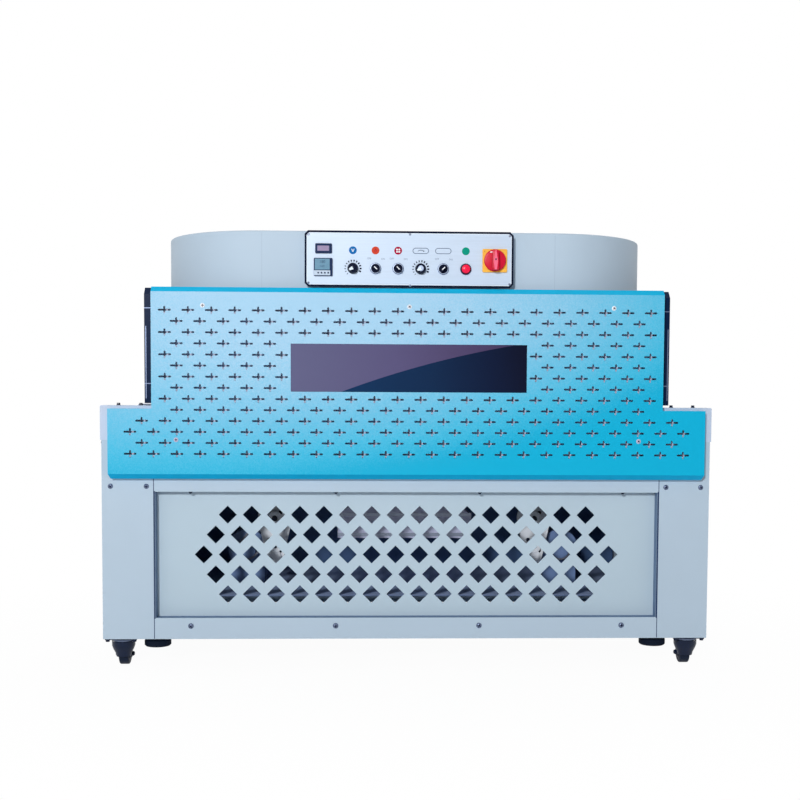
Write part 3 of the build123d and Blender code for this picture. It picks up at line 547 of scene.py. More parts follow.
# Vent slots of the cover
SLOT_LENGTH = 33 * MM
SLOT_HEIGHT = 19.5 * MM
SLOT_WIDTH = 5 * MM
SLOT_PITCH = 60 * MM
SLOT_ROW_PITCH = 28.5 * MM
SLOT_ROWS = 14
SLOT_TOP = 940 * MM
STEP_LEVEL = 686 * MM
COVER_BEND = 13 * MM
COVER_SKIN = 2 * MM
SLOT_UPPER_MARGIN = 12 * MM
SLOT_LOWER_MARGIN = 25 * MM
WINDOW_MARGIN = 5 * MM
PANE_LAP = 6 * MM
LINER_GAP = 20 * MM
TURN_BETWEEN_SCREWS = 0.6


def cross(centre):
    """The outline of one cross-shaped slot, with rounded ends."""
    x, y = centre
    half = SLOT_WIDTH / 2
    points = []
    for quarter, reach in enumerate((SLOT_LENGTH / 2, SLOT_HEIGHT / 2, SLOT_LENGTH / 2, SLOT_HEIGHT / 2)):
        facing = quarter * pi / 2
        for step in range(5):
            angle = facing - pi / 2 + step * pi / 4
            along = (reach - half) * cos(facing)
            across = (reach - half) * sin(facing)
            points.append((x + along + half * cos(angle), y + across + half * sin(angle)))
        inner = facing + pi / 4
        points.append((x + half * 2 ** 0.5 * cos(inner), y + half * 2 ** 0.5 * sin(inner)))
    return points


def slot_places():
    """Centres of the slots: every other row sits half a pitch off, and rows stop beside the window."""
    upper_half = WALL_HIGH.x - SLOT_UPPER_MARGIN
    lower_half = COVER_HIGH.x - SLOT_LOWER_MARGIN
    window_x = PANE_HIGH.x - PANE_LAP
    window_low, window_high = PANE_LOW.z + PANE_LAP, PANE_HIGH.z - PANE_LAP
    places = []
    for row in range(SLOT_ROWS):
        level = SLOT_TOP - row * SLOT_ROW_PITCH
        edge = upper_half if level > STEP_LEVEL - SLOT_ROW_PITCH / 2 else lower_half
        shift = SLOT_PITCH / 2 if row % 2 == 0 else 0
        reach = shift + int((edge - SLOT_LENGTH / 2 - shift) / SLOT_PITCH) * SLOT_PITCH
        margin = SLOT_WIDTH / 2 + WINDOW_MARGIN
        beside_window = window_low - margin < level < window_high + margin
        for column in range(round(2 * reach / SLOT_PITCH) + 1):
            place = -reach + column * SLOT_PITCH
            near = abs(place) < window_x + SLOT_LENGTH / 2 + WINDOW_MARGIN
            if not (beside_window and near):
                places.append((place, level))
    return places


def cover_folds():
    """The folded edges of the front cover: sloping bends above and below, and the returns to the machine."""
    face, root, bent = COVER_LOW.y, COVER_HIGH.y, COVER_LOW.y + COVER_BEND
    low, high, mitre = COVER_LOW.z, COVER_HIGH.z, 5 * MM
    upper, lower = WALL_HIGH.x, COVER_HIGH.x
    bm = bmesh.new()

    def sheet(*corners, index=0):
        made = bm.faces.new([bm.verts.new(corner) for corner in corners])
        made.material_index = index

    def band(half, y, z, other_half, other_y, other_z, index):
        sheet((-half, y, z), (half, y, z), (other_half, other_y, other_z), (-other_half, other_y, other_z),
              index=index)

    band(upper, face, high - COVER_BEND, upper, bent, high, 1)
    band(upper, bent, high, upper, root, high, 1)
    # The lower bends take the darker copy of the fold colour, as painted shade.
    band(lower, face, low + COVER_BEND, lower - mitre, bent, low, 2)
    band(lower - mitre, bent, low, lower - mitre, root, low, 2)
    for side in (-1, 1):
        inner, outer = side * upper, side * lower
        sheet((inner, face, STEP_LEVEL), (inner, face, high - COVER_BEND), (inner, bent, high),
              (inner, root, high), (inner, root, STEP_LEVEL))
        sheet((inner, face, STEP_LEVEL), (outer, face, STEP_LEVEL), (outer, root, STEP_LEVEL),
              (inner, root, STEP_LEVEL))
        sheet((outer, face, low + COVER_BEND), (outer, face, STEP_LEVEL), (outer, root, STEP_LEVEL),
              (outer, root, low + COVER_BEND))
    bmesh.ops.remove_doubles(bm, verts=bm.verts, dist=1e-6)
    return mesh_of(bm)


def cover_outline(inset=0.0):
    """The flat face of the front cover, between its two bends."""
    low, high = COVER_LOW.z + COVER_BEND + inset, COVER_HIGH.z - COVER_BEND - inset
    upper, lower, step = WALL_HIGH.x - inset, COVER_HIGH.x - inset, STEP_LEVEL - inset
    return [(-lower, low), (lower, low), (lower, step), (upper, step), (upper, high), (-upper, high),
            (-upper, step), (-lower, step)]


def front_cover():
    """The vented cover with its window hole, its folded edges and the pale sheet behind its slots."""
    half = PANE_HIGH.x - PANE_LAP
    sill, head = PANE_LOW.z + PANE_LAP, PANE_HIGH.z - PANE_LAP
    window = [(-half, sill), (half, sill), (half, head), (-half, head)]
    crosses = [cross(place) for place in slot_places()]
    skin = plate([cover_outline(), window, *crosses], COVER_SKIN)
    at_face = seat((0, COVER_LOW.y + COVER_SKIN, 0), FRONT)
    finish_piece("vented_cover", [(skin, at_face), (cover_folds(), Matrix())],
                 [COVER, COVER_EDGE, COVER_EDGE_SHADED], replaces=["front_cover"])
    liner = plate([cover_outline(4 * MM), window], MM)
    behind = seat((0, COVER_LOW.y + COVER_SKIN + LINER_GAP + MM, 0), FRONT)
    single("cover_liner", liner, behind, LINER)


def dome_screw(radius, rise):
    """The domed head of a screw."""
    return lathe([(0, rise), (radius * 0.35, rise * 0.97), (radius * 0.7, rise * 0.75),
                  (radius * 0.93, rise * 0.38), (radius, 0), (0, 0)], 20)


def recess_cross(width, length, depth):
    """The dark cross recess of a screw, laid on the top of its head, in millimetres."""
    half, reach = width / 2, length / 2
    outline = [(half, half), (half, reach), (-half, reach), (-half, half), (-reach, half), (-reach, -half),
               (-half, -half), (-half, -reach), (half, -reach), (half, -half), (reach, -half), (reach, half)]
    return flat(outline, depth)


def screws(name, places, direction, radius, rise, head=None, recess=None):
    """A set of dome-head screws with their recesses, as one piece. The radius and rise are in millimetres."""
    dome = dome_screw(radius, rise)
    mark = recess_cross(radius * 0.28, radius * 1.15, 0.3)
    parts = []
    for number, place in enumerate(places):
        base = seat(place, direction) @ Matrix.Rotation(number * TURN_BETWEEN_SCREWS, 4, "Z")
        parts.append((dome, base, 0))
        parts.append((mark, base @ Matrix.Translation((0, 0, (rise - 0.15) * MM)), 1))
    finish_piece(name, parts, [head or ZINC, recess or BLACK_PRINT], smooth=True)


def hex_head(radius, rise):
    """A hexagon head on its washer."""
    washer = lathe([(0, 0), (radius * 1.25, 0), (radius * 1.25, rise * 0.18), (0, rise * 0.18)], 28)
    head = lathe([(0, rise * 0.18), (radius, rise * 0.18), (radius, rise * 0.88), (radius * 0.88, rise),
                  (0, rise)], 6)
    return gather([(washer, Matrix()), (head, Matrix())])


def box_mesh(low, high, bevel=0.0):
    """A block between two corners, its edges eased by bevel."""
    bm = bmesh.new()
    bmesh.ops.create_cube(bm, size=1)
    for vert in bm.verts:
        for axis in range(3):
            vert.co[axis] = low[axis] if vert.co[axis] < 0 else high[axis]
    if bevel:
        bmesh.ops.bevel(bm, geom=bm.edges, offset=bevel, segments=2, affect="EDGES")
    return mesh_of(bm)


def both_sides(distances, y, z):
    """Places at distances in millimetres to the left and right of the machine's middle."""
    return [(side * x * MM, y, z) for side in (-1, 1) for x in distances]


def sheet_screws():
    """Screws and bolts of the sheet metal, front and rear alike."""
    leg_x, rail_x, step_x = (684.3, 777.4), (190, 570.3), (702, 760.5)
    leg_z, rail_z, bay_z = 483 * MM, 114.5 * MM, 470.5 * MM
    bolt = hex_head(4.6, 6.5)
    for end, face, direction, tag in ((-1, LEG_LOW.y, FRONT, "front"), (1, LEG_HIGH.y, BACK, "rear")):
        screws(f"leg_screws_{tag}", both_sides(leg_x, face, leg_z), direction, 7, 3, DULL_STEEL)
        screws(f"rail_screws_{tag}", both_sides(rail_x, face, rail_z), direction, 7.5, 4, DULL_STEEL)
        tops = both_sides(step_x, end * 270 * MM, CHEEK_HIGH.z)
        finish_piece(f"step_bolts_{tag}", [(bolt, seat(place, UP)) for place in tops], DARK_STEEL,
                     smooth=True)
        screws(f"bay_screws_{tag}", both_sides(rail_x, end * 294 * MM, bay_z), DOWN, 6, 6.5, DARK_STEEL)
    upper_x, flange_y = (-532.6, 0, 532.6), REAR_COVER_HIGH.y - 21 * MM
    for tag, row, y, z, direction, metal in (
        ("upper", upper_x, COVER_LOW.y, 952 * MM, FRONT, WHITE_PRINT),
        ("lower", (-602, 602), COVER_LOW.y, 606 * MM, FRONT, LILAC_PRINT),
        ("rear", upper_x, flange_y, REAR_COVER_HIGH.z, UP, WHITE_PRINT),
    ):
        places = [(x * MM, y, z) for x in row]
        screws(f"cover_screws_{tag}", places, direction, 6.2, 2.4, metal, RUBY_RING)
    for side, direction, tag in SIDES:
        face = side * LEG_HIGH.x
        ends = [(face, y * MM, z * MM) for y in (-270, 270) for z in (160, 380, 590)]
        screws(f"leg_side_screws_{tag}", ends, direction, 6, 2.8)
        bolts = [(face, y * MM, 597 * MM) for y in (-288, 288)]
        screws(f"cheek_bolts_{tag}", bolts, direction, 5, 2.8, DARK_STEEL)
        sheet = side * (LEG_HIGH.x - 2 * MM)
        panels = [(sheet, y * MM, z * MM) for y in (-180, 180) for z in (110, 350, 590)]
        screws(f"side_panel_screws_{tag}", panels, direction, 5, 2)


def leg_gap_shade():
    """Dark strips painted as the shade in the gaps beside the legs: at the rails' ends, and wider along the
    bay panel's edge, where its recess wall lies in shadow.
    """
    narrow, wide, lift = 1.3 * MM, 3.6 * MM, 0.1 * MM
    spans = ((LEG_LOW.z + MM, BAY_LOW, narrow), (BAY_LOW, BAY_HIGH, wide), (BAY_HIGH, COVER_LOW.z, narrow))
    strips = []
    for end in (-1, 1):
        for side in (-1, 1):
            y = end * LEG_HIGH.y
            for low, high, width in spans:
                edges = sorted((side * (LEG_INNER + narrow / 2), side * (LEG_INNER - width)))
                strips.append((box_mesh((edges[0], y - lift, low), (edges[1], y + lift, high)), Matrix()))
    finish_piece("leg_gap_shade", strips, GAP_SHADE)


def fork_shell(sections):
    """The pressed housing of a caster's fork, from (level, half width, depth) in millimetres.

    It wraps round the front of the wheel and narrows downwards.
    """
    bm = bmesh.new()
    rows = []
    steps, reach = 16, 100
    for level, half_width, depth in sections:
        row = []
        for step in range(steps + 1):
            angle = radians(-reach + 2 * reach * step / steps)
            row.append(bm.verts.new((half_width * sin(angle) * MM, -depth * cos(angle) * MM, level * MM)))
        rows.append(row)
    for lower, upper in zip(rows, rows[1:]):
        for step in range(steps):
            bm.faces.new((lower[step], lower[step + 1], upper[step + 1], upper[step]))
    bmesh.ops.recalc_face_normals(bm, faces=bm.faces)
    bmesh.ops.solidify(bm, geom=bm.faces, thickness=1.6 * MM)
    # Solidify returns its faces in an order that varies from run to run, so they are put in one
    across = Vector((1.0, 3.7, 11.3))
    bm.faces.sort(key=lambda face: face.calc_center_median().dot(across))
    return mesh_of(bm)


def mouth_trim():
    """The pale joint lines across the outer faces of the dark mouth surrounds, painted highlight strips down
    their front faces, and their screws.
    """
    bands = []
    for side in (-1, 1):
        for level in (946.5, 751):
            for end in (-1, 1):
                edges = sorted((side * (WALL_HIGH.x + 0.5 * MM), side * (MOUTH_HIGH.x - 0.1 * MM)))
                low = (edges[0], end * WALL_HIGH.y - 0.25 * MM, (level - 1.1) * MM)
                high = (edges[1], end * WALL_HIGH.y + 0.25 * MM, (level + 1.1) * MM)
                bands.append((box_mesh(low, high, 0.1 * MM), Matrix()))
    # Painted highlights: a pale strip down the front face of each mouth surround, near its outer edge, where
    # its bevel would catch the light.
    for side in (-1, 1):
        low = (side * (MOUTH_HIGH.x - 4 * MM) - 1.2 * MM, -WALL_HIGH.y - 0.2 * MM, 712 * MM)
        high = (low[0] + 2.4 * MM, -WALL_HIGH.y + 0.2 * MM, 900 * MM)
        bands.append((box_mesh(low, high, 0.1 * MM), Matrix()))
    finish_piece("mouth_joint_lines_and_highlights", bands, DULL_STEEL)
    for side, direction, tag in SIDES:
        places = [(side * MOUTH_HIGH.x, y * MM, z * MM) for y in (-262, 262) for z in (740, 850, 960)]
        places += [(side * MOUTH_HIGH.x, y * MM, 965 * MM) for y in (-130, 0, 130)]
        screws(f"mouth_screws_{tag}", places, direction, 5, 2.2)


def hood_trim():
    """The seams of the hood, where its curved end sheets meet the straight ones."""
    seams = []
    for end in (-1, 1):
        for x in (-385, 385):
            low = (x * MM - 0.6 * MM, end * HOOD_HIGH.y - 0.15 * MM, HOOD_LOW.z + MM)
            high = (x * MM + 0.6 * MM, end * HOOD_HIGH.y + 0.15 * MM, HOOD_HIGH.z - 6 * MM)
            seams.append((box_mesh(low, high), Matrix()))
    finish_piece("hood_seams", seams, BOX_PAINT)


PANEL_Y = PANEL_LOW.y
CONTROL_Z = 1052.5
ICON_Z = 1099.0
COLUMNS = [(column - 2.5) * 58.8 for column in range(6)]


def on_panel(x, z, proud=0.0, turn=0.0):
    """The place of something printed on or fixed to the panel, in millimetres from the machine's middle."""
    return seat((x * MM, PANEL_Y - proud * MM, z * MM), FRONT) @ Matrix.Rotation(radians(turn), 4, "Z")


def ring_band(outer, inner):
    """A flat print between two outlines in millimetres."""
    return plate([scaled(outer), scaled(inner)], INK * MM)


def cut_corners(width, height, cut):
    """The outline of a rectangle with its corners cut off."""
    half_w, half_h = width / 2, height / 2
    return [(half_w, half_h - cut), (half_w - cut, half_h), (cut - half_w, half_h), (-half_w, half_h - cut),
            (-half_w, cut - half_h), (cut - half_w, -half_h), (half_w - cut, -half_h), (half_w, cut - half_h)]


def panel_print():
    """The border line, dial scales, legends and round signs printed on the control panel."""
    width = (PANEL_HIGH.x - PANEL_LOW.x) / MM
    height = (PANEL_HIGH.z - PANEL_LOW.z) / MM
    middle_z = (PANEL_HIGH.z + PANEL_LOW.z) / 2 / MM
    inner_edge = cut_corners(width - 10.4, height - 10.6, 6.4)
    border = ring_band(cut_corners(width, height, 9), inner_edge)
    black = [(border, on_panel(0, middle_z))]
    light = ring_band(inner_edge, cut_corners(width - 14, height - 14.6, 5.5))
    single("panel_light_line", light, on_panel(0, middle_z), PALE_PRINT)
    for x in (COLUMNS[0], COLUMNS[3]):
        for step in range(13):
            share = step / 12
            angle = radians(225 - 247 * share)
            reach = 20.0
            tick = flat(rounded(4.0 + 1.4 * share, 1.5 + 2.8 * share, 0.5))
            spot = on_panel(x + reach * cos(angle), CONTROL_Z + reach * sin(angle))
            black.append((tick, spot @ Matrix.Rotation(angle, 4, "Z")))
    finish_piece("panel_border_and_scales", black, BLACK_PRINT)

    grey = []
    for x in (COLUMNS[3], COLUMNS[4]):
        outline = ring_band(rounded(42.5, 15.6, 7.7), rounded(38.9, 12, 5.9))
        grey.append((outline, on_panel(x, ICON_Z)))
    for x in (COLUMNS[1], COLUMNS[2], COLUMNS[4]):
        grey.append((lettering("OFF", 6.4 * MM), on_panel(x - 16.5, CONTROL_Z + 25.5)))
        grey.append((lettering("ON", 6.4 * MM), on_panel(x + 19.5, CONTROL_Z + 24.5)))
    finish_piece("grey_legends", grey, GREY_PRINT)

    arc = [(8 * cos(radians(a)), 5.5 * sin(radians(a)) - 3) for a in range(20, 161, 14)]
    arc += [(6.6 * cos(radians(a)), 4.2 * sin(radians(a)) - 3) for a in range(160, 19, -14)]
    head = [(8.8, 1.4), (5.2, -0.6), (9.2, -2.6)]
    marks = [(flat(arc), on_panel(COLUMNS[3], ICON_Z)),
             (flat(head), on_panel(COLUMNS[3], ICON_Z))]
    finish_piece("speed_arrow", marks, CASE_PLASTIC)

    disc = flat(circle(10.2))
    for name, column, ink in (("blue", 0, BLUE_PRINT), ("orange", 1, ORANGE_PRINT),
                              ("crimson", 2, CRIMSON_PRINT), ("green", 5, GREEN_PRINT)):
        single(f"{name}_sign", disc, on_panel(COLUMNS[column], ICON_Z), ink)
    chevron = [(-4, 3.6), (-2.2, 3.6), (0, -1.6), (2.2, 3.6), (4, 3.6), (1, -4), (-1, -4)]
    petal = flat(rounded(4.6, 4.6, 2.0))
    white = [(flat(chevron), on_panel(COLUMNS[0], ICON_Z, 0.1))]
    for x, z in ((-2.9, 2.9), (2.9, 2.9), (-2.9, -2.9), (2.9, -2.9)):
        white.append((petal, on_panel(COLUMNS[2] + x, ICON_Z + z, 0.1)))
    finish_piece("white_marks", white, WHITE_PRINT)
    flame = [(0, 5.5), (2.0, 2.2), (3.2, -0.8), (2.2, -3.8), (0, -5.0), (-2.2, -3.8), (-3.2, -0.8),
             (-1.4, 1.6)]
    band = ring_band(flame, [(x * 0.55, y * 0.55 - 0.8) for x, y in flame])
    single("warm_mark", band, on_panel(COLUMNS[1], ICON_Z, 0.1), CRIMSON_PRINT)
    corners = [(x * MM, PANEL_Y, z * MM) for x in (-262, 262) for z in (1014.5, 1139.5)]
    corners += [(1 * MM, PANEL_Y, 1141.5 * MM), (2 * MM, PANEL_Y, 1009 * MM)]
    screws("panel_screws", corners, FRONT, 3.6, 1.6, CHROME, CASE_PLASTIC)


def instrument_faces():
    """The meter's window and the controller's display and keys."""
    meter_x, meter_z = -223.0, 1103.0
    window = flat(rounded(31, 13.4, 1.0), 0.3)
    lens = flat(rounded(27, 12.5, 0.6), 0.2)
    single("meter_window", window, on_panel(meter_x - 0.8, meter_z, 5.0), METER_FACE)
    single("meter_digits_pane", lens, on_panel(meter_x - 0.5, meter_z, 5.2), METER_GLOW)
    x, z = -224.0, 1055.0
    lcd = flat(rounded(38.5, 28, 1.0, (-2.2, 7)), 0.3)
    keys = flat(rounded(42, 12.5, 1.0, (-2.6, -15.2)), 0.4)
    single("controller_display", lcd, on_panel(x, z, 5.0), LCD)
    single("controller_keys", keys, on_panel(x, z, 5.0), GREY_KEYS)
    digits = [(lettering("180", 10 * MM), on_panel(x - 2, z + 13.5, 5.25)),
              (lettering("160", 8 * MM), on_panel(x - 2, z + 1.5, 5.25))]
    finish_piece("controller_digits", digits, LCD_DIGITS)
    key = lathe([(0, 0), (2.3, 0), (2.1, 0.7), (0, 0.8)], 16)
    spots = [(key, on_panel(x - 12.5 + 8.6 * number, z - 15.2, 5.4)) for number in range(4)]
    finish_piece("controller_buttons", spots, CASE_PLASTIC, smooth=True)


def round_controls():
    """Bezels, knob caps with their pointers, selector marks and the push button's ring."""
    bezel = lathe([(11.6, 4.0), (11.9, 4.6), (13.2, 4.5), (14.6, 2.6), (14.7, 0.0)], 48)
    for name, x, metal in (("bezel_1", COLUMNS[1], BEZEL), ("bezel_2", COLUMNS[2], BEZEL),
                           ("bezel_3", COLUMNS[4], BEZEL), ("bezel_4", COLUMNS[5], RUBY_RING)):
        single(name, bezel, on_panel(x, CONTROL_Z), metal, smooth=True)
    gear = []
    for step in range(72):
        radius = 14.2 if step % 2 == 0 else 13.7
        gear.append((radius * cos(2 * pi * step / 72), radius * sin(2 * pi * step / 72)))
    skirt = flat(gear, 4)
    cap = lathe([(0, 0.9), (6.6, 0.7), (7.4, 0.0)], 40)
    pointer = flat([(-4.4, 0), (4.4, 0), (2.4, 10.5), (-2.4, 10.5)], 0.3)
    for body, x, metal in (("heat_knob", COLUMNS[0], BLACK_PLASTIC), ("speed_knob", COLUMNS[3], BEZEL)):
        single(f"{body}_skirt", skirt, on_panel(x, CONTROL_Z, 0.5), BLACK_PLASTIC, body)
        single(f"{body}_cap", cap, on_panel(x, CONTROL_Z, 15.4), metal, body, smooth=True)
        single(f"{body}_pointer", pointer, on_panel(x, CONTROL_Z, 16.1, 118), PALE_PRINT, body)
    mark = flat(rounded(10.5, 2.6, 1.2), 0.3)
    for number, (x, turn) in enumerate(((COLUMNS[1], -45), (COLUMNS[2], -45), (COLUMNS[4], 45)), start=1):
        single(f"selector_{number}_mark", mark, on_panel(x, CONTROL_Z, 18.0, turn),
               WHITE_PRINT, f"selector_{number}")
    lens = lathe([(0, 1.6), (5, 1.3), (8.6, 0.4), (9.4, 0)], 40)
    single("push_button_lens", lens, on_panel(COLUMNS[5], CONTROL_Z, 11.4), RED_LENS,
           "push_button", smooth=True)


def main_switch():
    """The red rotary handle with a pale strip along its grip, a painted highlight, and the numbers on its
    yellow plate.
    """
    x, z = 222.5, 1075.0
    numbers = [(lettering("0", 6.5 * MM), on_panel(x - 26.5, z - 5, 5.0)),
               (lettering("1", 6.5 * MM), on_panel(x - 26.5, z + 23, 5.0))]
    finish_piece("switch_numbers", numbers, BLACK_PRINT)
    disc_face, grip_face = 14.4, 31.4
    disc = lathe([(0, 0), (26.5, 0), (28.2, 1.5), (28.5, 6), (27, 8.4), (24.5, 9), (0, 9)], 64)
    grip = plate([scaled([(-6.4, -26), (6.4, -26), (9.4, -20), (7.5, 22), (4.5, 26), (-4.5, 26), (-7.5, 22),
                          (-9.4, -20)])], (grip_face - disc_face) * MM, 1.6 * MM)
    # Painted highlight: the pale strip along the middle of the grip.
    line = flat([(-3.0, -25), (3.0, -25), (5.4, -3), (1.3, 24), (-1.3, 24), (-5.4, -3)], 0.25)
    eye = lathe([(0, 0.1), (2.2, 0.1), (2.4, 0)], 24)
    dot = flat(rounded(7, 3, 1.4), 0.2)
    parts = [(disc, on_panel(x, z, disc_face - 9)), (grip, on_panel(x, z, disc_face - 0.4)),
             (line, on_panel(x, z, grip_face - 0.35), 1), (eye, on_panel(x, z + 1, grip_face - 0.12), 2),
             (dot, on_panel(x - 10, z + 21, disc_face - 0.05), 3)]
    finish_piece("switch_handle_moulding", parts, [RED_PLASTIC, RED_GRIP_HIGHLIGHT, RUBY_RING, WHITE_PRINT],
                 "switch_handle", smooth=True, replaces=["switch_handle"])


def caster_details(corner, end):
    """A caster's plate bolts, swivel race, pressed fork shell, axle nuts and hub rings."""
    plate_low, pivot_y, bolt_reach = 77 * MM, 255 * MM, 35 * MM
    nut_out, wheel_half = 18.1 * MM, 13 * MM
    fork, steel = f"fork_{corner}", "caster_steel"
    low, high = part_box(f"wheel_{corner}")
    fork_low, fork_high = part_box(fork)
    x, y = (fork_low.x + fork_high.x) / 2, end * pivot_y
    bolt = hex_head(5.5, 5.5)
    bolts = [(bolt, seat((x + dx, y + dy, plate_low), DOWN)) for dx in (-bolt_reach, bolt_reach)
             for dy in (-bolt_reach, bolt_reach)]
    finish_piece(f"caster_bolts_{corner}", bolts, DARK_STEEL, smooth=True)
    race = lathe([(27.2, -8), (28.4, -7), (28.6, -3), (27.2, -1.5), (25, -0.2)], 48)
    single(f"swivel_race_{corner}", race, Matrix.Translation((x, y, fork_high.z)),
           DULL_STEEL, fork, smooth=True)
    shell = fork_shell([(26, 19, 16), (36, 21.5, 19), (46, 27, 24), (56, 30.5, 29), (68, 30.5, 30.5)])
    turned = Matrix.Translation((x, y, 0)) @ Matrix.Rotation(0 if end < 0 else pi, 4, "Z")
    single(f"fork_shell_{corner}", shell, turned, DARK_STEEL, fork, smooth=True)
    axle = Vector((x, (low.y + high.y) / 2, (low.z + high.z) / 2))
    nut = hex_head(6.5, 5.5)
    hub = lathe([(11.4, 0), (12.0, 0.7), (14.5, 0.7), (15.2, 0.1), (20.5, 0.1), (21.2, 0.7),
                        (22.8, 0.5), (23, 0)], 40)
    nuts = [(nut, seat(axle + Vector((way * nut_out, 0, 0)), direction)) for way, direction, _ in SIDES]
    finish_piece(f"axle_nuts_{corner}", nuts, DARK_STEEL, fork, smooth=True)
    rings = [(hub, seat(axle + Vector((way * wheel_half, 0, 0)), direction)) for way, direction, _ in SIDES]
    finish_piece(f"hub_rings_{corner}", rings, BLACK_PLASTIC, f"wheel_{corner}", smooth=True)


def foot_details(corner):
    """A levelling foot's fine thread and collar, and the lock nut on the leg's plate."""
    foot = f"foot_{corner}"
    low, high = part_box(foot)
    x, y = (low.x + high.x) / 2, (low.y + high.y) / 2
    upright = Matrix.Translation((x, y, 0))
    turns, first_level, pitch = 48, 88, 1.25
    thread = []
    for turn in range(turns):
        level = first_level + turn * pitch
        thread += [(6.005, level), (6.03, level + 0.6)]
    finish_piece(f"foot_thread_{corner}", [(lathe(thread, 16), upright)], ZINC, foot,
                 smooth=True)
    nut = lathe([(7, 0), (11, 0), (11, 6), (10, 7), (7, 7), (7, 0)], 6)
    single(f"foot_lock_nut_{corner}", nut, Matrix.Translation((x, y, 86.2 * MM)), ZINC)
    collar = lathe([(6.4, 73.2), (12, 73.2), (10.5, 76), (6.4, 77)], 28)
    single(f"foot_collar_{corner}", collar, upright, ZINC, foot, smooth=True)


def running_gear():
    """The fittings of the casters and levelling feet at all four corners."""
    for end, end_name in ((-1, "front"), (1, "rear")):
        for side_name in ("left", "right"):
            caster_details(f"{end_name}_{side_name}", end)
            foot_details(f"{end_name}_{side_name}")


def roller_ends():
    """Bearing seals in both ends of every roller."""
    pitch, radius, half = 76 * MM, 19 * MM, 228 * MM
    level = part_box("conveyor_rollers")[1].z - radius
    seal = lathe([(6.3, 0.2), (8, 1.2), (15, 1.2), (17.5, 0.4), (18.4, 0)], 28)
    seals = []
    for number in range(-10, 11):
        for end, direction in ((-1, FRONT), (1, BACK)):
            seals.append((seal, seat((number * pitch, end * half, level), direction)))
    finish_piece("roller_bearing_seals", seals, BLACK_PLASTIC, smooth=True)


def drive_details():
    """What shows through the lattice: hub caps and bolts, duct seams and cooling fins."""
    hub_x, hub_z, low_z, face = 366 * MM, 377 * MM, 300 * MM, -80 * MM
    bolt_circle, bolt_back = 22 * MM, 10 * MM
    cap = lathe([(8, 2), (9, 4), (20, 3), (21, 0.2)], 32)
    eye = lathe([(0, 3), (5, 3), (6, 0.2), (8, 0.2)], 24)
    bolt = hex_head(4.5, 4)
    parts = []
    for side in (-1, 1):
        x = side * hub_x
        for level in (hub_z, low_z):
            middle = seat((x, face, level), FRONT)
            parts.append((cap, middle, 1))
            parts.append((eye, middle, 0))
            for turn in range(4):
                angle = pi / 4 + turn * pi / 2
                spot = (x + bolt_circle * cos(angle), face + bolt_back, level + bolt_circle * sin(angle))
                parts.append((bolt, seat(spot, FRONT)))
    finish_piece("hub_bolts", parts, [DARK_STEEL, BRACKET], smooth=True)
    low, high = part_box("air_duct")
    proud, half_height, neck_level = 1.5 * MM, 5 * MM, 385 * MM
    flanges = []
    for level in (low.z + 10 * MM, neck_level):
        flanges.append((box_mesh((low.x, low.y - proud, level - half_height),
                                 (high.x, low.y, level + half_height), 0.4 * MM), Matrix()))
    finish_piece("duct_flanges", flanges, ZINC)
    motor_x, motor_z, first_fin, fin_pitch = 446 * MM, 285 * MM, 10, 14
    ring = lathe([(54, 0), (58, 0.4), (58, 2.6), (54, 3)], 36)
    fins = []
    for side in (-1, 1):
        for number in range(9):
            y = (first_fin + number * fin_pitch) * MM
            fins.append((ring, seat((side * motor_x, y, motor_z), BACK)))
    finish_piece("motor_fins", fins, MOTOR, smooth=True)


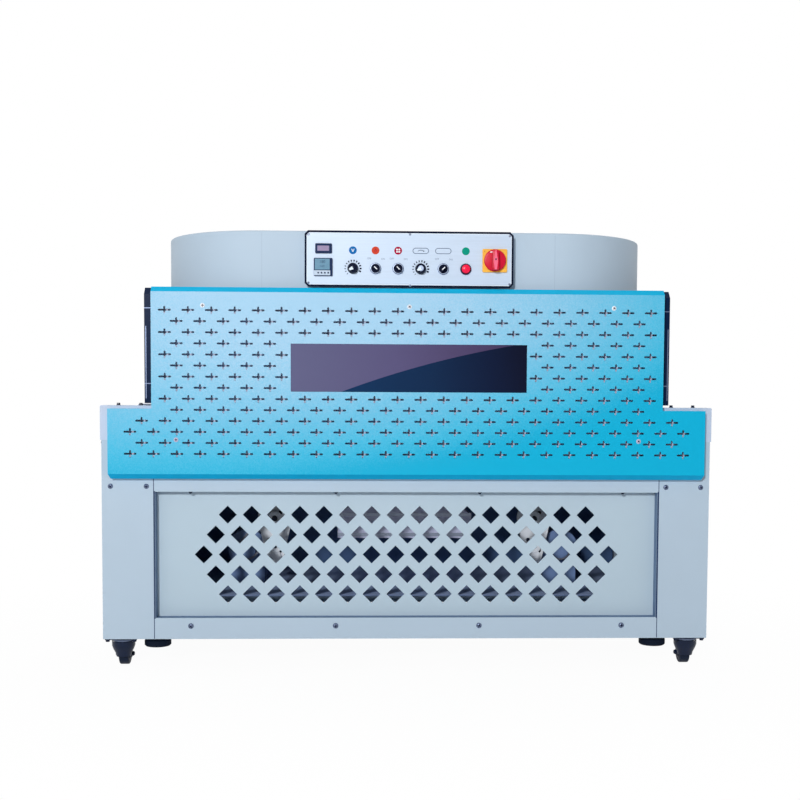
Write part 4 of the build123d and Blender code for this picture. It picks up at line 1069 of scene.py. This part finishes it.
def camera_and_light():
    """The camera where the photographer stood, the floor and the soft lamps."""
    camera = bpy.data.cameras.new("camera")
    holder = add_object("camera", camera)
    picture = 800.0
    focal_pixels = 1205.0
    principal_point = (405.5, 462.9)
    camera.sensor_width = 36.0
    camera.lens = focal_pixels * camera.sensor_width / picture
    camera.shift_x = (picture / 2 - principal_point[0]) / picture
    camera.shift_y = (principal_point[1] - picture / 2) / picture
    camera.clip_start = 0.05
    camera.clip_end = 100
    turn = Matrix.Rotation(-radians(2.12), 4, "Z")
    tilt = Matrix.Rotation(radians(90 - 3.244), 4, "X")
    roll = Matrix.Rotation(radians(0.288), 4, "Z")
    holder.matrix_world = Matrix.Translation((-0.1244, -3.4605, 0.7255)) @ turn @ tilt @ roll
    bpy.context.scene.camera = holder

    floor_mesh = plate([rounded(14, 14, 0.5)], 0.01)
    floor_mesh.transform(Matrix.Translation((0, 0, -0.01)))
    floor = add_object("floor", floor_mesh)
    floor_mesh.materials.append(white_floor())

    for name, place, size, power in (
        ("key", (-1.75, -6.84, 2.66), 0.6, 315),
        ("right", (3.6, 2.2, 1.8), 2.4, 13),
        ("left", (-3.6, 2.2, 1.8), 2.4, 11),
        ("top", (0.0, 0.4, 4.2), 3.0, 24),
        ("back", (0.4, 5.0, 2.4), 2.6, 110),
    ):
        lamp = bpy.data.lights.new(name, "AREA")
        lamp.size = size
        lamp.energy = power
        light = add_object(name, lamp)
        aim = Vector((0, 0, 0.65)) - Vector(place)
        light.matrix_world = Matrix.Translation(place) @ aim.to_track_quat("-Z", "Y").to_matrix().to_4x4()

    world = bpy.data.worlds.new("studio")
    bpy.context.scene.world = world
    world.use_nodes = True
    sky = Nodes(world.node_tree)
    ambient = 0.27
    strength = sky.node("ShaderNodeMapRange", inputs={"Value": sky.seen(), "To Min": ambient, "To Max": 1.0})
    light = sky.node("ShaderNodeBackground", inputs={"Color": (1, 1, 1, 1), "Strength": strength})
    sky.node("ShaderNodeOutputWorld", inputs={"Surface": light})


def white_floor():
    """A pale matt floor that fades to white away from the machine and keeps its soft shadow."""
    finish = Finish("studio_floor")
    x, y, _ = finish.axes()
    grain = finish.noise(30.0, 3.0)
    finish.feed(Base_Color=finish.blend(grain, (0.84, 0.85, 0.86, 1), (0.88, 0.89, 0.90, 1)),
                Roughness=0.85 + grain * 0.1)
    distance = finish.maths("SQRT", x * x * 0.5 + y * y)
    fade = finish.node("ShaderNodeMapRange", inputs={0: distance, 1: 0.45, 2: 1.4, 3: 0.965, 4: 1.0})
    white = finish.node("ShaderNodeEmission", inputs={"Color": (1, 1, 1, 1), "Strength": 1.0})
    mixed = finish.node("ShaderNodeMixShader", inputs={0: finish.seen() * fade, 1: finish.shader, 2: white})
    finish.tree.links.new(mixed.socket, finish.output.inputs["Surface"])
    return finish.material


bpy.context.scene.view_settings.view_transform = "Standard"
camera_and_light()
dress_frame()
front_cover()
sheet_screws()
mouth_trim()
hood_trim()
panel_print()
instrument_faces()
round_controls()
main_switch()
running_gear()
roller_ends()
drive_details()
leg_gap_shade()
